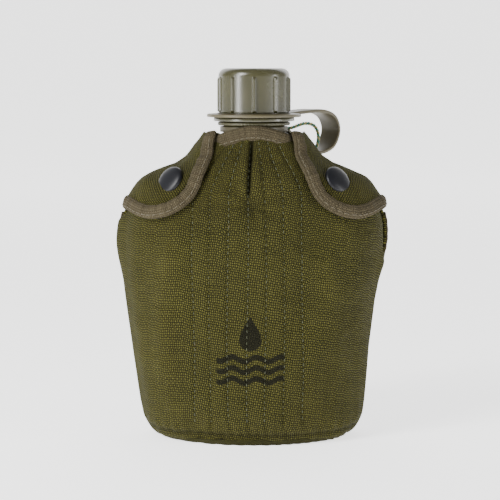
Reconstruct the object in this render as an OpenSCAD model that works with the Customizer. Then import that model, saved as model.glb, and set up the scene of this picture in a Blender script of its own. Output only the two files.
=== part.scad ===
// Field canteen: a blow-moulded bottle with a screw cap on a keeper strap,
// inside a fleece-lined duck cover with two snapped shoulder flaps.
// Origin: centre of the base on the ground. +X wearer's side to side, front faces -Y, +Z up.

/* [Bottle] */
// Overall width of the bottle
bottle_w = 132; // [110:1:158]
// Overall depth of the bottle, front to back
bottle_d = 66; // [58:1:78]
// Height of the bottle's body, from its base to the root of the neck
body_h = 161; // [134:1:194]
// Wall of the bottle
bottle_wall = 1.8; // [1.2:0.1:2.4]
// How far the sides curve back round the hip
bend = 10; // [4:1:13]
// Outer radius of the plain neck
neck_r = 16.8; // [14:0.1:20.2]
// Radius of the mouth's bore
mouth_r = 13.2; // [11:0.1:13.6]
// Height of the neck above its root
neck_h = 36.4; // [33:1:42]

/* [Cap] */
// Radial play between the threads and the walls they face
thread_play = 0.5; // [0.4:0.05:0.8]
// Wall of the cap's skirt
cap_wall = 1.6; // [1.3:0.1:2.4]
// Thickness of the cap's top
cap_top = 2.4; // [1.6:0.1:3.2]
// Number of grip ribs
rib_count = 10; // [8:1:16]
// How far each rib stands out
rib_out = 1.3; // [0.8:0.1:1.8]
// Width of each rib
rib_w = 2; // [1.2:0.1:3]
// Axial advance of the thread in one turn
pitch = 4; // [3.6:0.1:4.6]
// Thickness of the sealing gasket
gasket_t = 1.4; // [1:0.1:2]

/* [Keeper strap] */
// Width of the strap band
strap_w = 13; // [9:0.5:16]
// Thickness of the strap band
strap_t = 1.9; // [1.4:0.1:2.4]
// Outward reach of the strap's loop from the bottle's axis
strap_reach = 70; // [62:1:84]
// Direction in which the strap leaves, measured from +X towards +Y
strap_angle = 50; // [40:1:60]

/* [Cover] */
// Thickness of the duck panels with their backing
panel_t = 1.6; // [1.2:0.1:2.2]
// Thickness of the fleece lining
lining_t = 2.2; // [1.6:0.1:3]
// Loose gap between neighbouring layers
layer_gap = 0.3; // [0.2:0.05:0.5]
// Width of the binding tape as it shows on one face
tape_w = 7; // [5:0.5:9]
// Thickness of the binding tape, folded
tape_t = 1.2; // [0.9:0.1:1.6]
// Height on the bottle of the seam between the side panels and the base panel
base_seam_z = 11.5; // [10:0.1:14]

/* [Snaps] */
// Diameter of the snap's cap
snap_d = 15.5; // [12:0.5:17]
// Rise of the snap's cap
snap_rise = 3.2; // [2:0.1:4]
// Radius of the snap's stud
stud_r = 2.6; // [2:0.1:3]

/* [Belt clips] */
// Distance between the two belt clips
clip_spread = 56; // [48:1:66]
// Width of each clip
clip_w = 20; // [16:1:24]
// Height of each clip
clip_h = 62; // [56:1:72]
// Free gap for the belt inside each clip
belt_gap = 7.5; // [6.5:0.5:9]
// Thickness of the clip's sheet metal
clip_t = 1.4; // [1.1:0.1:1.8]
// Travel of the clip's locking slide
slide_travel = 10; // [6:1:12]

/* [Hidden] */
$fn = 64;

// Colours of the stuffs the canteen is made of
duck = "#4d4a28";
tape = "#564c38";
fleece = "#6b6248";
olive_plastic = "#5a563a";
strap_plastic = "#544e39";
black_metal = "#25262c";
webbing_colour = "#55502f";

// Each layer's distance from the bottle's skin, from the lining outwards
panel_in = lining_t + 2 * layer_gap;
panel_out = panel_in + panel_t;
flap_play = 0.6;
flap_in = panel_out + flap_play;
flap_lining_t = 1.4;
flap_lining_out = flap_in + flap_lining_t;
flap_cloth_in = flap_lining_out + 0.1;
flap_out = flap_cloth_in + panel_t;
base_z = panel_out;

// Levels up the neck
neck_z = base_z + body_h;
plain_h = 9;
bead_z = neck_z + plain_h;
bead_t = 1.7;
mouth_z = neck_z + neck_h;
root_r = neck_r - 0.4;
thread_h = 1.2;
cap_in_r = root_r + thread_h + thread_play;
cap_r = cap_in_r + cap_wall;
cap_z = bead_z + bead_t + 0.6;
flange_t = 1.9;
flange_r = cap_r + 2.6;
ring_play = 0.35;
ring_z = cap_z + flange_t + ring_play;
ring_t = 2.1;
sleeve_r = cap_r - 0.5;
ring_out_r = sleeve_r + 6.8;
grip_z = ring_z + ring_t + ring_play;
cap_top_z = mouth_z + 0.1 + gasket_t + cap_top;

// The bottle's stations from its base to its plain neck: share of the body's height,
// share of the half width and half depth beyond the neck's radius, share of the
// bend, and the squareness of the section
stations = [[0, 0.38, 0.25, 0.5, 2.3], [0.006, 0.66, 0.52, 0.8, 2.4],
    [0.04, 0.765, 0.70, 0.9, 2.5], [0.1, 0.805, 0.86, 1, 2.5], [0.3, 0.886, 0.97, 1, 2.5],
    [0.52, 0.97, 1, 1, 2.5], [0.67, 1, 0.98, 1, 2.5], [0.765, 0.9, 0.83, 0.9, 2.4],
    [0.87, 0.62, 0.55, 0.7, 2.3], [0.945, 0.25, 0.25, 0.35, 2.1], [1, 0.03, 0.04, 0, 2],
    [1 + plain_h / body_h, 0, 0, 0, 2]];
last_station = len(stations) - 1;
neck_station = last_station - 1;

// Catmull-Rom blend of four values
function blend4(a, b, c, d, f) =
    0.5 * (2 * b + (c - a) * f + (2 * a - 5 * b + 4 * c - d) * f * f
    + (3 * b - a - 3 * c + d) * f * f * f);
function along(list, s) =
    let (last = len(list) - 1, i = min(max(floor(s), 0), last - 1))
    blend4(list[max(i - 1, 0)], list[i], list[i + 1], list[min(i + 2, last)], s - i);
function spow(c, e) = sign(c) * pow(abs(c), e);
function level(s) = base_z + body_h * along(stations, s)[0];
function station_at(z, low = 0, high = last_station, step = 0) =
    let (mid = (low + high) / 2)
    step > 20 ? mid
    : level(mid) < z ? station_at(z, mid, high, step + 1)
    : station_at(z, low, mid, step + 1);

// A point of the bottle's skin at angle t round it, from +X towards +Y, and station s
function skin(t, s) =
    let (q = along(stations, s), e = 2 / q[4], cx = spow(cos(t), e),
        w = neck_r + (bottle_w / 2 - neck_r) * q[1], d = neck_r + (bottle_d / 2 - neck_r) * q[2])
    [w * cx, d * spow(sin(t), e) + bend * q[3] * cx * cx, base_z + body_h * q[0]];
function unit(v) = v / norm(v);
function skin_normal(t, s) =
    unit(cross(skin(t + 1.5, s) - skin(t - 1.5, s),
        skin(t, min(s + 0.06, last_station)) - skin(t, max(s - 0.06, 0))));
function layer(t, s, off) = skin(t, s) + off * skin_normal(t, s);

function ramp(x, low, high) =
    let (f = min(max((x - low) / (high - low), 0), 1)) f * f * (3 - 2 * f);
// The back panel stands off further at the shoulders' sides, to meet the flaps
function back_out(t, s) =
    panel_out + (flap_out - panel_out) * ramp(along(stations, s)[0], 0.5, 0.66)
    * (1 - ramp(abs(sin(t)), 0.3, 0.95));

function flat(lists) = [for (row = lists) for (item = row) item];
function spread(low, high, count) = [for (i = [0:count]) low + (high - low) * i / count];

// Closed solid between two matching grids of points, outer and inner
module slab(outer, inner) {
    nu = len(outer[0]);
    nv = len(outer);
    skip = nu * nv;
    faces = concat(
        flat([for (j = [0:nv - 2], i = [0:nu - 2]) let (a = j * nu + i, b = a + 1, c = a + nu)
            [[a, c, b], [b, c, c + 1],
             [skip + a, skip + b, skip + c], [skip + b, skip + c + 1, skip + c]]]),
        flat([for (i = [0:nu - 2]) let (a = i, c = (nv - 1) * nu + i)
            [[a, a + 1, skip + a], [a + 1, skip + a + 1, skip + a],
             [c, skip + c, c + 1], [c + 1, skip + c, skip + c + 1]]]),
        flat([for (j = [0:nv - 2]) let (a = j * nu, b = a + nu - 1)
            [[a, skip + a, a + nu], [a + nu, skip + a, skip + a + nu],
             [b, b + nu, skip + b], [b + nu, skip + b + nu, skip + b]]]));
    polyhedron(points = concat(flat(outer), flat(inner)), faces = faces, convexity = 6);
}

// Closed pot: two nested rings-of-points walls joined at the rim, each with a flat bottom
module pot(outer, inner) {
    nu = len(outer[0]);
    nv = len(outer);
    skip = nu * nv;
    low_centre = [0, outer[0][0][1], outer[0][0][2]];
    high_centre = [0, inner[0][0][1], inner[0][0][2]];
    rim = (nv - 1) * nu;
    faces = flat([for (i = [0:nu - 1]) let (k = (i + 1) % nu) concat(
        flat([for (j = [0:nv - 2]) let (a = j * nu + i, b = j * nu + k)
            [[a, a + nu, b], [b, a + nu, b + nu],
             [skip + a, skip + b, skip + a + nu], [skip + b, skip + b + nu, skip + a + nu]]]),
        [[rim + i, skip + rim + i, rim + k], [rim + k, skip + rim + i, skip + rim + k],
         [2 * skip, i, k], [2 * skip + 1, skip + k, skip + i]])]);
    polyhedron(points = concat(flat(outer), flat(inner), [low_centre, high_centre]),
        faces = faces, convexity = 6);
}

// Part of one layer: the angles ts round the skin, the stations ss up it
module patch(ts, ss, low, high) {
    slab([for (s = ss) [for (t = ts) layer(t, s, high)]],
        [for (s = ss) [for (t = ts) layer(t, s, low)]]);
}

// Helical thread whose foot is sunk in its wall; out is 1 outside a wall, -1 inside one
module thread(foot_r, crest_r, low_z, turns, out) {
    steps = ceil(turns * 20);
    half_foot = 0.95;
    half_crest = 0.45;
    ring = [for (i = [0:steps])
        let (a = 360 * turns * i / steps, z = low_z + pitch * turns * i / steps,
            foot = foot_r - out * 0.4)
        for (q = [[foot, -half_foot], [crest_r, -half_crest], [crest_r, half_crest], [foot, half_foot]])
        [q[0] * cos(a), q[0] * sin(a), z + q[1]]];
    side = flat([for (i = [0:steps - 1], k = [0:3]) let (a = 4 * i + k, b = 4 * i + (k + 1) % 4)
        out > 0 ? [[a, b, a + 4], [b, b + 4, a + 4]] : [[b, a, a + 4], [b, a + 4, b + 4]]]);
    e = 4 * steps;
    ends = [[0, 3, 2], [0, 2, 1], [e, e + 1, e + 2], [e, e + 2, e + 3]];
    polyhedron(points = ring, faces = concat(side,
        out > 0 ? ends : [for (f = ends) [f[2], f[1], f[0]]]), convexity = 6);
}

// Tube swept along points, with count sides
module tube_along(route, r, count) {
    last = len(route) - 1;
    function heading(i) = unit(route[min(i + 1, last)] - route[max(i - 1, 0)]);
    ring = [for (i = [0:last])
        let (h = heading(i), side = unit(cross(h, [0.2, -1, 0.1])), up = cross(side, h))
        for (k = [0:count - 1]) let (a = 360 * k / count)
        route[i] + r * (cos(a) * side + sin(a) * up)];
    wall = flat([for (i = [0:last - 1], k = [0:count - 1])
        let (a = count * i + k, b = count * i + (k + 1) % count)
        [[a, b, a + count], [b, b + count, a + count]]]);
    start = [for (k = [1:count - 2]) [0, k + 1, k]];
    finish = [for (k = [1:count - 2]) [count * last, count * last + k, count * last + k + 1]];
    polyhedron(points = ring, faces = concat(wall, start, finish), convexity = 6);
}

// Bottle
bottle_sides = 44;
bottle_stations = concat(spread(0, 2, 4), spread(2.5, neck_station + 0.5, 17));
joint_s = neck_station + 0.5;
joint_z = level(joint_s);
module bottle() {
    ts = [for (i = [0:bottle_sides - 1]) 360 * i / bottle_sides];
    color(olive_plastic) pot([for (s = bottle_stations) [for (t = ts) layer(t, s, 0)]],
        [for (s = bottle_stations) [for (t = ts) let (p = layer(t, s, -bottle_wall))
            [p[0], p[1], s == joint_s ? joint_z : p[2]]]]);
}
// The neck stands on the body's rim: plain tube, bead and threaded mouth
lip_chamfer = 0.8;
bead_r = cap_r + 0.3;
thread_top_z = mouth_z - 3.4;
neck_turns = 1.75;
cap_turns = 1.25;
module bottle_neck() {
    color(olive_plastic) union() {
        rotate_extrude() polygon([[mouth_r, joint_z], [skin(0, joint_s)[0], joint_z],
            [neck_r, bead_z - 3], [neck_r, bead_z], [bead_r, bead_z], [bead_r, bead_z + bead_t],
            [root_r, bead_z + bead_t], [root_r, mouth_z - lip_chamfer],
            [root_r - lip_chamfer, mouth_z], [mouth_r, mouth_z]]);
        thread(root_r, root_r + thread_h, thread_top_z - neck_turns * pitch, neck_turns, 1);
    }
}

// Cap, gasket and keeper strap
// Rounding of the cap's top edge
edge_r = 4;
module cap() {
    color(olive_plastic) union() {
        rotate_extrude() polygon(concat(
            [[cap_in_r, cap_z], [flange_r, cap_z], [flange_r, cap_z + flange_t],
             [sleeve_r, cap_z + flange_t], [sleeve_r, grip_z], [cap_r + 0.3, grip_z]],
            [for (a = [0:15:90]) [cap_r + edge_r * (cos(a) - 1), cap_top_z + edge_r * (sin(a) - 1)]],
            [[0, cap_top_z], [0, cap_top_z - cap_top], [cap_in_r, cap_top_z - cap_top]]));
        for (i = [0:rib_count - 1]) rotate(360 * i / rib_count - 90)
            translate([cap_r - 0.8, 0, grip_z]) rotate([90, 0, 0])
            linear_extrude(rib_w, center = true)
            polygon([[0, 0], [rib_out + 0.8, 0], [rib_out + 0.6, cap_top_z - grip_z - edge_r - 2],
                [0, cap_top_z - grip_z - edge_r]]);
        thread(cap_in_r, root_r + thread_play, thread_top_z - (cap_turns + 1) * pitch, cap_turns, -1);
    }
}
module cap_gasket() {
    color("dimgray") translate([0, 0, mouth_z + 0.1]) cylinder(r = cap_in_r - 0.3, h = gasket_t);
}
module strap_cap_ring() {
    color(strap_plastic) rotate_extrude() polygon([[sleeve_r + ring_play, ring_z],
        [ring_out_r, ring_z], [ring_out_r, ring_z + ring_t - 0.9],
        [sleeve_r + ring_play + 1, ring_z + ring_t], [sleeve_r + ring_play, ring_z + ring_t]]);
}
tab_r = cap_r + 1.6;
neck_ring_z = bead_z - 3.6;
neck_ring_h = 2.9;
neck_ring_play = 0.3;
tab_gap = 1.1;
// Middle line of the strap's loop: distance from the axis, height above the cap's ring
strap_line = [[0, 0], [0.3, 0.9], [0.65, 1.2], [0.88, -1.5], [0.985, -7], [0.985, -13], [0.88, -19.5],
    [0.66, -22.5], [0.42, -21], [0.2, -14.5], [0, -8.6]];
function strap_point(s) =
    let (q = along(strap_line, s), ends = [ring_out_r, tab_r + tab_gap],
        low = s < 5 ? ends[0] : ends[1])
    [low + (strap_reach - low) * q[0], ring_z + ring_t / 2 + q[1] - 0.1];
module strap_band() {
    count = 40;
    mid = [for (s = spread(0, len(strap_line) - 1, count)) strap_point(s)];
    across = [for (i = [0:count]) let (d = mid[min(i + 1, count)] - mid[max(i - 1, 0)])
        [-d[1], d[0]] / norm(d) * strap_t / 2];
    color(strap_plastic) rotate(strap_angle) rotate([90, 0, 0])
        linear_extrude(strap_w, center = true)
        polygon(concat([for (i = [0:count]) mid[i] + across[i]],
            [for (i = [count:-1:0]) mid[i] - across[i]]));
}
module strap_neck_ring() {
    color(strap_plastic) union() {
        translate([0, 0, neck_ring_z]) difference() {
            cylinder(r = neck_r + 2, h = neck_ring_h);
            translate([0, 0, -1]) cylinder(r = neck_r + neck_ring_play, h = neck_ring_h + 2);
        }
        rotate(strap_angle) translate([neck_r + 1.5, -strap_w / 2 + 1, neck_ring_z + 0.4])
            cube([tab_r - neck_r - 1.5, strap_w - 2, neck_ring_h - 0.8]);
    }
}
// Middle line of the neck cord
cord_r = 1;
cord_angle = 29;
cord_from = [neck_r * cos(cord_angle), neck_r * sin(cord_angle), body_h];
cord_shape = [[3.4, 1.25, 11.2], [6.7, 3.05, 11.6], [9.9, 5.25, 12.7], [13.1, 7.45, 13.6],
    [16.3, 9.05, 13.6], [19.3, 9.85, 12.2], [21.1, 9.85, 9.2], [21.6, 9.65, 6], [21.2, 9.45, 3],
    [20.5, 9.25, 0.2]];
cord_points = [for (p = cord_shape) cord_from + p];
module neck_cord() {
    color("#2f7d68") tube_along(
        [for (s = spread(0, len(cord_points) - 1, 27)) along(cord_points, s)], cord_r, 8);
}

// Cover: panels, linings and bindings
panel_cols = 26;
seam_gap = 0.4;
lining_top_s = neck_station - 0.35;
function front_top(t) = bead_z - 0.6 - 10.5 * (1 - abs(sin(t)));
function rows(low, high, count) = [for (z = spread(low, high, count)) station_at(z)];
front_rows = 24;
module front_panel() {
    ts = spread(180 + seam_gap, 360 - seam_gap, panel_cols);
    cells = [for (v = [0:front_rows]) [for (t = ts)
        let (low = base_seam_z + 0.2, s = station_at(low), f = v / front_rows)
        [t, s + (station_at(front_top(t)) - s) * f]]];
    color(duck) slab([for (row = cells) [for (c = row) layer(c[0], c[1], panel_out)]],
        [for (row = cells) [for (c = row) layer(c[0], c[1], panel_in)]]);
}
module back_panel() {
    ts = spread(seam_gap, 180 - seam_gap, panel_cols);
    low = station_at(base_seam_z + 0.2);
    ss = spread(low, station_at(neck_z - 0.5), 22);
    color(duck) slab([for (s = ss) [for (t = ts) layer(t, s, back_out(t, s))]],
        [for (s = ss) [for (t = ts) layer(t, s, back_out(t, s) - panel_t)]]);
}
module base_panel() {
    ts = [for (i = [0:39]) 9 * i + 4.5];
    ss = concat([0, 0.5], spread(1, station_at(base_seam_z - 0.2), 3));
    color(duck) difference() {
        pot([for (s = ss) [for (t = ts) let (p = layer(t, s, panel_out))
                [p[0], p[1], s == 0 ? 0 : max(p[2], 0)]]],
            [for (s = ss) [for (t = ts) let (p = layer(t, s, panel_in))
                [p[0], p[1], s == 0 ? panel_t : max(p[2], panel_t)]]]);
        translate([0, eyelet_y, -1]) cylinder(r = eyelet_r, h = 6);
    }
}
eyelet_r = 5;
eyelet_y = 9;
module front_lining() {
    color(fleece) patch(spread(180 + 2 * seam_gap, 360 - 2 * seam_gap, 18),
        spread(station_at(base_seam_z + 2), lining_top_s, 15), layer_gap, layer_gap + lining_t);
}
module back_lining() {
    ts = spread(2 * seam_gap, 180 - 2 * seam_gap, 18);
    ss = spread(station_at(base_seam_z + 2), lining_top_s, 15);
    color(fleece) slab(
        [for (s = ss) [for (t = ts) layer(t, s, back_out(t, s) - panel_t - 2 * layer_gap)]],
        [for (s = ss) [for (t = ts) layer(t, s, layer_gap)]]);
}
module base_lining() {
    color(fleece) difference() {
        translate([0, 0, panel_t + layer_gap]) linear_extrude(lining_t)
            polygon([for (i = [0:39]) let (p = skin(9 * i, 0)) [p[0], p[1]]]);
        translate([0, eyelet_y, 0]) cylinder(r = eyelet_r, h = 2 * panel_out);
    }
}
module drain_eyelet() {
    color("#3a3a34") translate([0, eyelet_y, 0.2]) difference() {
        cylinder(r = eyelet_r, h = panel_in + panel_t - layer_gap - 0.2);
        translate([0, 0, -1]) cylinder(r = eyelet_r - 1.4, h = 2 * panel_out);
    }
}
// Play under a tape that is sewn on
tape_play = 0.2;
module collar_binding() {
    ts = spread(208, 332, 20);
    cells = [for (drop = [tape_w, tape_w / 2, 0]) [for (t = ts) [t, station_at(front_top(t) - drop)]]];
    color(tape) slab([for (row = cells) [for (c = row) layer(c[0], c[1], panel_out + tape_play + tape_t)]],
        [for (row = cells) [for (c = row) layer(c[0], c[1], panel_out + tape_play)]]);
}
// Angle that the tape's width takes up behind the side seam
tape_angle = asin(pow(2 * tape_w / bottle_d, 1.25));
side_top_z = body_h - 40;
module side_binding() {
    ts = spread(180 - tape_angle, 180, 4);
    ss = rows(base_seam_z - 1, side_top_z, 20);
    color(tape) slab([for (s = ss) [for (t = ts) layer(t, s, back_out(t, s) + layer_gap + tape_t)]],
        [for (s = ss) [for (t = ts) layer(t, s, back_out(t, s) + layer_gap)]]);
}

// Flaps: the inner edge runs from the neck down to the low outer corner, as height of the
// skin under it and angle from the side seam
flap_low_z = side_top_z + 4;
flap_edge = [[flap_low_z, 30], [flap_low_z + 1.5, 44], [flap_low_z + 5, 55], [flap_low_z + 9.5, 60.5],
    [flap_low_z + 15, 61], [flap_low_z + 22, 57], [flap_low_z + 29, 44], [neck_z - 5, 29],
    [neck_z - 0.5, 20]];
flap_start = 180 + 2 * seam_gap;
flap_cells = [for (v = spread(0, len(flap_edge) - 1, 16))
    let (q = along(flap_edge, v), s = station_at(q[0]))
    [for (t = spread(flap_start, 180 + q[1], 9)) [t, s]]];
// The snap sits square on the flap
snap_t = 219;
snap_s = station_at(side_top_z + 20);
module at_snap() {
    n = skin_normal(snap_t, snap_s);
    x = unit(cross([0, 0, 1], n));
    y = cross(n, x);
    p = skin(snap_t, snap_s);
    multmatrix([[x[0], y[0], n[0], p[0]], [x[1], y[1], n[1], p[1]], [x[2], y[2], n[2], p[2]],
        [0, 0, 0, 1]]) children();
}
hole_r = stud_r + 1.6;
module flap_layer(low, high) {
    difference() {
        slab([for (row = flap_cells) [for (c = row) layer(c[0], c[1], high)]],
            [for (row = flap_cells) [for (c = row) layer(c[0], c[1], low)]]);
        at_snap() cylinder(r = hole_r, h = 3 * flap_out);
    }
}
module flap() { color(duck) flap_layer(flap_cloth_in, flap_out); }
module flap_lining() { color(fleece) flap_layer(flap_in, flap_lining_out); }
module flap_binding() {
    low = flap_out + tape_play;
    high = low + tape_t;
    // Down the inner edge, then along the low edge
    edge = [for (v = spread(0, len(flap_edge) - 1, 16))
        let (q = along(flap_edge, v), s = station_at(q[0]))
        [for (back = [tape_w, tape_w / 2, 0]) [180 + q[1] - back, s]]];
    hem_s = station_at(flap_low_z);
    hem = [for (f = [0, 0.5, 1]) [for (t = spread(flap_start, 180 + flap_edge[0][1] - tape_w - 0.6, 4))
        [t, station_at(flap_low_z + f * tape_w)]]];
    color(tape) for (cells = [edge, hem])
        slab([for (row = cells) [for (c = row) layer(c[0], c[1], high)]],
            [for (row = cells) [for (c = row) layer(c[0], c[1], low)]]);
}

// Snap fastener: its pieces stand on the skin's normal at the snap
cap_seat = flap_out - 0.3;
module snap_cap() {
    dome_r = (pow(snap_d / 2, 2) + pow(snap_rise - 0.8, 2)) / (2 * (snap_rise - 0.8));
    color(black_metal) at_snap() translate([0, 0, cap_seat]) union() {
        cylinder(r = snap_d / 2, h = 0.8);
        intersection() {
            translate([0, 0, snap_rise - dome_r]) sphere(r = dome_r);
            translate([0, 0, 0.8]) cylinder(r = snap_d / 2, h = snap_rise);
        }
    }
}
module snap_socket() {
    color(black_metal) at_snap() translate([0, 0, flap_in - 0.2]) difference() {
        cylinder(r = hole_r + 0.3, h = cap_seat - flap_in + 0.1);
        translate([0, 0, -1]) cylinder(r = stud_r + 1, h = 2 * flap_out);
    }
}
module snap_stud() {
    color(black_metal) at_snap() translate([0, 0, panel_out - 0.6]) union() {
        cylinder(r = hole_r - 0.3, h = 0.9);
        cylinder(r = stud_r - 0.4, h = cap_seat - panel_out);
        translate([0, 0, cap_seat - panel_out - 1.1]) cylinder(r1 = stud_r, r2 = stud_r - 0.6, h = 1.1);
    }
}

// Belt hardware on the back
webbing_t = 1.4;
webbing_low_z = 38;
webbing_high_z = 122;
keeper_rise = 26;
clip_x = clip_spread / 2;
clip_y = bottle_d / 2 + panel_out + webbing_t + 1.6;
clip_low_z = 68;
leg_y = clip_y + clip_t + belt_gap;
leg_low_z = clip_low_z + 8;
function angle_at(x) = acos(pow(x / (bottle_w / 2), 1.25));
module webbing_backing() {
    half = clip_w / 2 + 1.5;
    ts = spread(angle_at(clip_x + half), angle_at(clip_x - half), 5);
    ss = rows(webbing_low_z, webbing_high_z, 14);
    color(webbing_colour) slab(
        [for (s = ss) [for (t = ts) layer(t, s, back_out(t, s) + layer_gap + webbing_t)]],
        [for (s = ss) [for (t = ts) layer(t, s, back_out(t, s) + layer_gap)]]);
}
module webbing_keeper() {
    play = 0.3;
    wrap = 1.2;
    height = 12;
    wide = clip_w + 2 * play;
    deep = clip_t + 2 * play;
    color(webbing_colour) translate([clip_x, clip_y - play, clip_low_z + keeper_rise]) difference() {
        translate([-wide / 2 - wrap, -wrap, 0]) cube([wide + 2 * wrap, deep + 2 * wrap, height]);
        translate([-wide / 2, 0, -1]) cube([wide, deep, height + 2]);
    }
}
module belt_clip() {
    bend_r = (belt_gap + 2 * clip_t) / 2;
    mid_y = clip_y + bend_r;
    high_z = clip_low_z + clip_h - bend_r;
    arc = spread(0, 180, 10);
    color(black_metal) translate([clip_x + clip_w / 2, 0, 0]) rotate([90, 0, -90])
        linear_extrude(clip_w) polygon(concat([for (p = concat(
            [[clip_y, clip_low_z]],
            [for (a = arc) [mid_y - bend_r * cos(a), high_z + bend_r * sin(a)]],
            [[leg_y + clip_t, leg_low_z], [leg_y, leg_low_z]],
            [for (a = arc) [mid_y + (bend_r - clip_t) * cos(a), high_z + (bend_r - clip_t) * sin(a)]],
            [[clip_y + clip_t, clip_low_z + clip_t], [clip_y + clip_t + 3, clip_low_z + clip_t],
             [clip_y + clip_t + 3, clip_low_z]])) [-p[0], p[1]]]));
}
module clip_slide() {
    play = 0.3;
    sheet = 1.2;
    height = 10;
    color(black_metal) translate([clip_x, leg_y - play, leg_low_z - 3]) difference() {
        translate([-clip_w / 2 - play - sheet, -sheet, 0])
            cube([clip_w + 2 * (play + sheet), clip_t + 2 * (play + sheet), height]);
        translate([-clip_w / 2 - play, 0, -1]) cube([clip_w + 2 * play, clip_t + 2 * play, height + 2]);
    }
}

bottle();
bottle_neck();
cap();
cap_gasket();
strap_cap_ring();
strap_band();
strap_neck_ring();
neck_cord();
front_panel();
back_panel();
base_panel();
front_lining();
back_lining();
base_lining();
collar_binding();
drain_eyelet();
side_binding();  // side_binding_left
mirror([1, 0, 0]) side_binding();  // side_binding_right
flap();  // flap_left
mirror([1, 0, 0]) flap();  // flap_right
flap_lining();  // flap_lining_left
mirror([1, 0, 0]) flap_lining();  // flap_lining_right
flap_binding();  // flap_binding_left
mirror([1, 0, 0]) flap_binding();  // flap_binding_right
snap_cap();  // snap_cap_left
mirror([1, 0, 0]) snap_cap();  // snap_cap_right
snap_socket();  // snap_socket_left
mirror([1, 0, 0]) snap_socket();  // snap_socket_right
snap_stud();  // snap_stud_left
mirror([1, 0, 0]) snap_stud();  // snap_stud_right
mirror([1, 0, 0]) webbing_backing();  // webbing_backing_left
webbing_backing();  // webbing_backing_right
mirror([1, 0, 0]) webbing_keeper();  // webbing_keeper_left
webbing_keeper();  // webbing_keeper_right
mirror([1, 0, 0]) belt_clip();  // belt_clip_left
belt_clip();  // belt_clip_right
mirror([1, 0, 0]) clip_slide();  // clip_slide_left
clip_slide();  // clip_slide_right
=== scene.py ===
# Field canteen: a moulded bottle with its cap and keeper strap, in a fleece-lined duck cover.
import math
import bpy
import numpy as np
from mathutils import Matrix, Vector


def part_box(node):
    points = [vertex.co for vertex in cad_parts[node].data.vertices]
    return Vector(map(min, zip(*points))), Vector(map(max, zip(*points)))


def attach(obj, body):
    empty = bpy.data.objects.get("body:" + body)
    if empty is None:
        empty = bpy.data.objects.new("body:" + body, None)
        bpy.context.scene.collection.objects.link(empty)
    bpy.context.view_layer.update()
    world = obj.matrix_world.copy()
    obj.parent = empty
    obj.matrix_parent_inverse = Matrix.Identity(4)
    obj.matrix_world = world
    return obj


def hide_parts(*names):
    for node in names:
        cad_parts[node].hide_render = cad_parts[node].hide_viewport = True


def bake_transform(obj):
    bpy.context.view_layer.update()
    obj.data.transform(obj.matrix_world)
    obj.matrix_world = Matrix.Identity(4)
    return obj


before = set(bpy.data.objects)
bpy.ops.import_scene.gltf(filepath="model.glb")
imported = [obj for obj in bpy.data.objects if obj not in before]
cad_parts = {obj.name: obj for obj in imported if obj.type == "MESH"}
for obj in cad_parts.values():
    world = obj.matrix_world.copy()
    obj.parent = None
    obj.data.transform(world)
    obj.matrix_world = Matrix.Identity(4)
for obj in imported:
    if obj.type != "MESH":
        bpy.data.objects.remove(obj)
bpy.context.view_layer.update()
millimetre = 0.001


def hexColour(code):
    # sRGB hex to linear: below 0.04045 divide by 12.92, above it raise (c + 0.055) / 1.055 to 2.4
    parts = [int(code[i:i + 2], 16) / 255 for i in (1, 3, 5)]
    return tuple(c / 12.92 if c < 0.04045 else ((c + 0.055) / 1.055) ** 2.4 for c in parts) + (1.0,)


def smooth(x, low, high):
    # Smooth step: 3f^2 - 2f^3 with f the share of the way from low to high
    f = np.clip((x - low) / (high - low), 0, 1)
    return f * f * (3 - 2 * f)


def bell(x, width):
    # Bell curve: exp of minus (x / width) squared
    return np.exp(-(x / width) ** 2)


def softNoise(points, wave, seed, count=9):
    # Sum of count cosines with seeded directions and phases, all about one wave length
    rng = np.random.default_rng(seed)
    heading = rng.normal(size=(count, points.shape[-1]))
    heading /= np.linalg.norm(heading, axis=1, keepdims=True)
    pace = 2 * math.pi / (wave * rng.uniform(0.7, 1.5, count))
    phase = rng.uniform(0, 2 * math.pi, count)
    return np.cos(points @ (heading * pace[:, None]).T + phase).sum(-1) / math.sqrt(count)


print("camera and stage")
view = {"distance": 1.0, "height": 0.21, "tilt": 6.0, "side": -0.0022, "lens": 130.0}


def makeCamera():
    cam = bpy.data.objects.new("camera", bpy.data.cameras.new("camera"))
    bpy.context.collection.objects.link(cam)
    cam.data.lens = view["lens"]
    cam.data.sensor_width = 36
    cam.location = (view["side"], -view["distance"], view["height"])
    cam.rotation_euler = (math.radians(90 - view["tilt"]), 0, 0)
    bpy.context.scene.camera = cam


def makeLight(name, place, target, size, power, tint="#ffffff"):
    data = bpy.data.lights.new(name, "AREA")
    data.shape = "RECTANGLE"
    data.size, data.size_y = size
    data.energy = power
    data.color = hexColour(tint)[:3]
    lamp = bpy.data.objects.new(name, data)
    bpy.context.collection.objects.link(lamp)
    lamp.location = place
    aim = np.array(target) - np.array(place)
    lamp.rotation_euler = (math.atan2(math.hypot(aim[0], aim[1]), -aim[2]), 0,
                           math.atan2(aim[1], aim[0]) - math.pi / 2)


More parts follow.
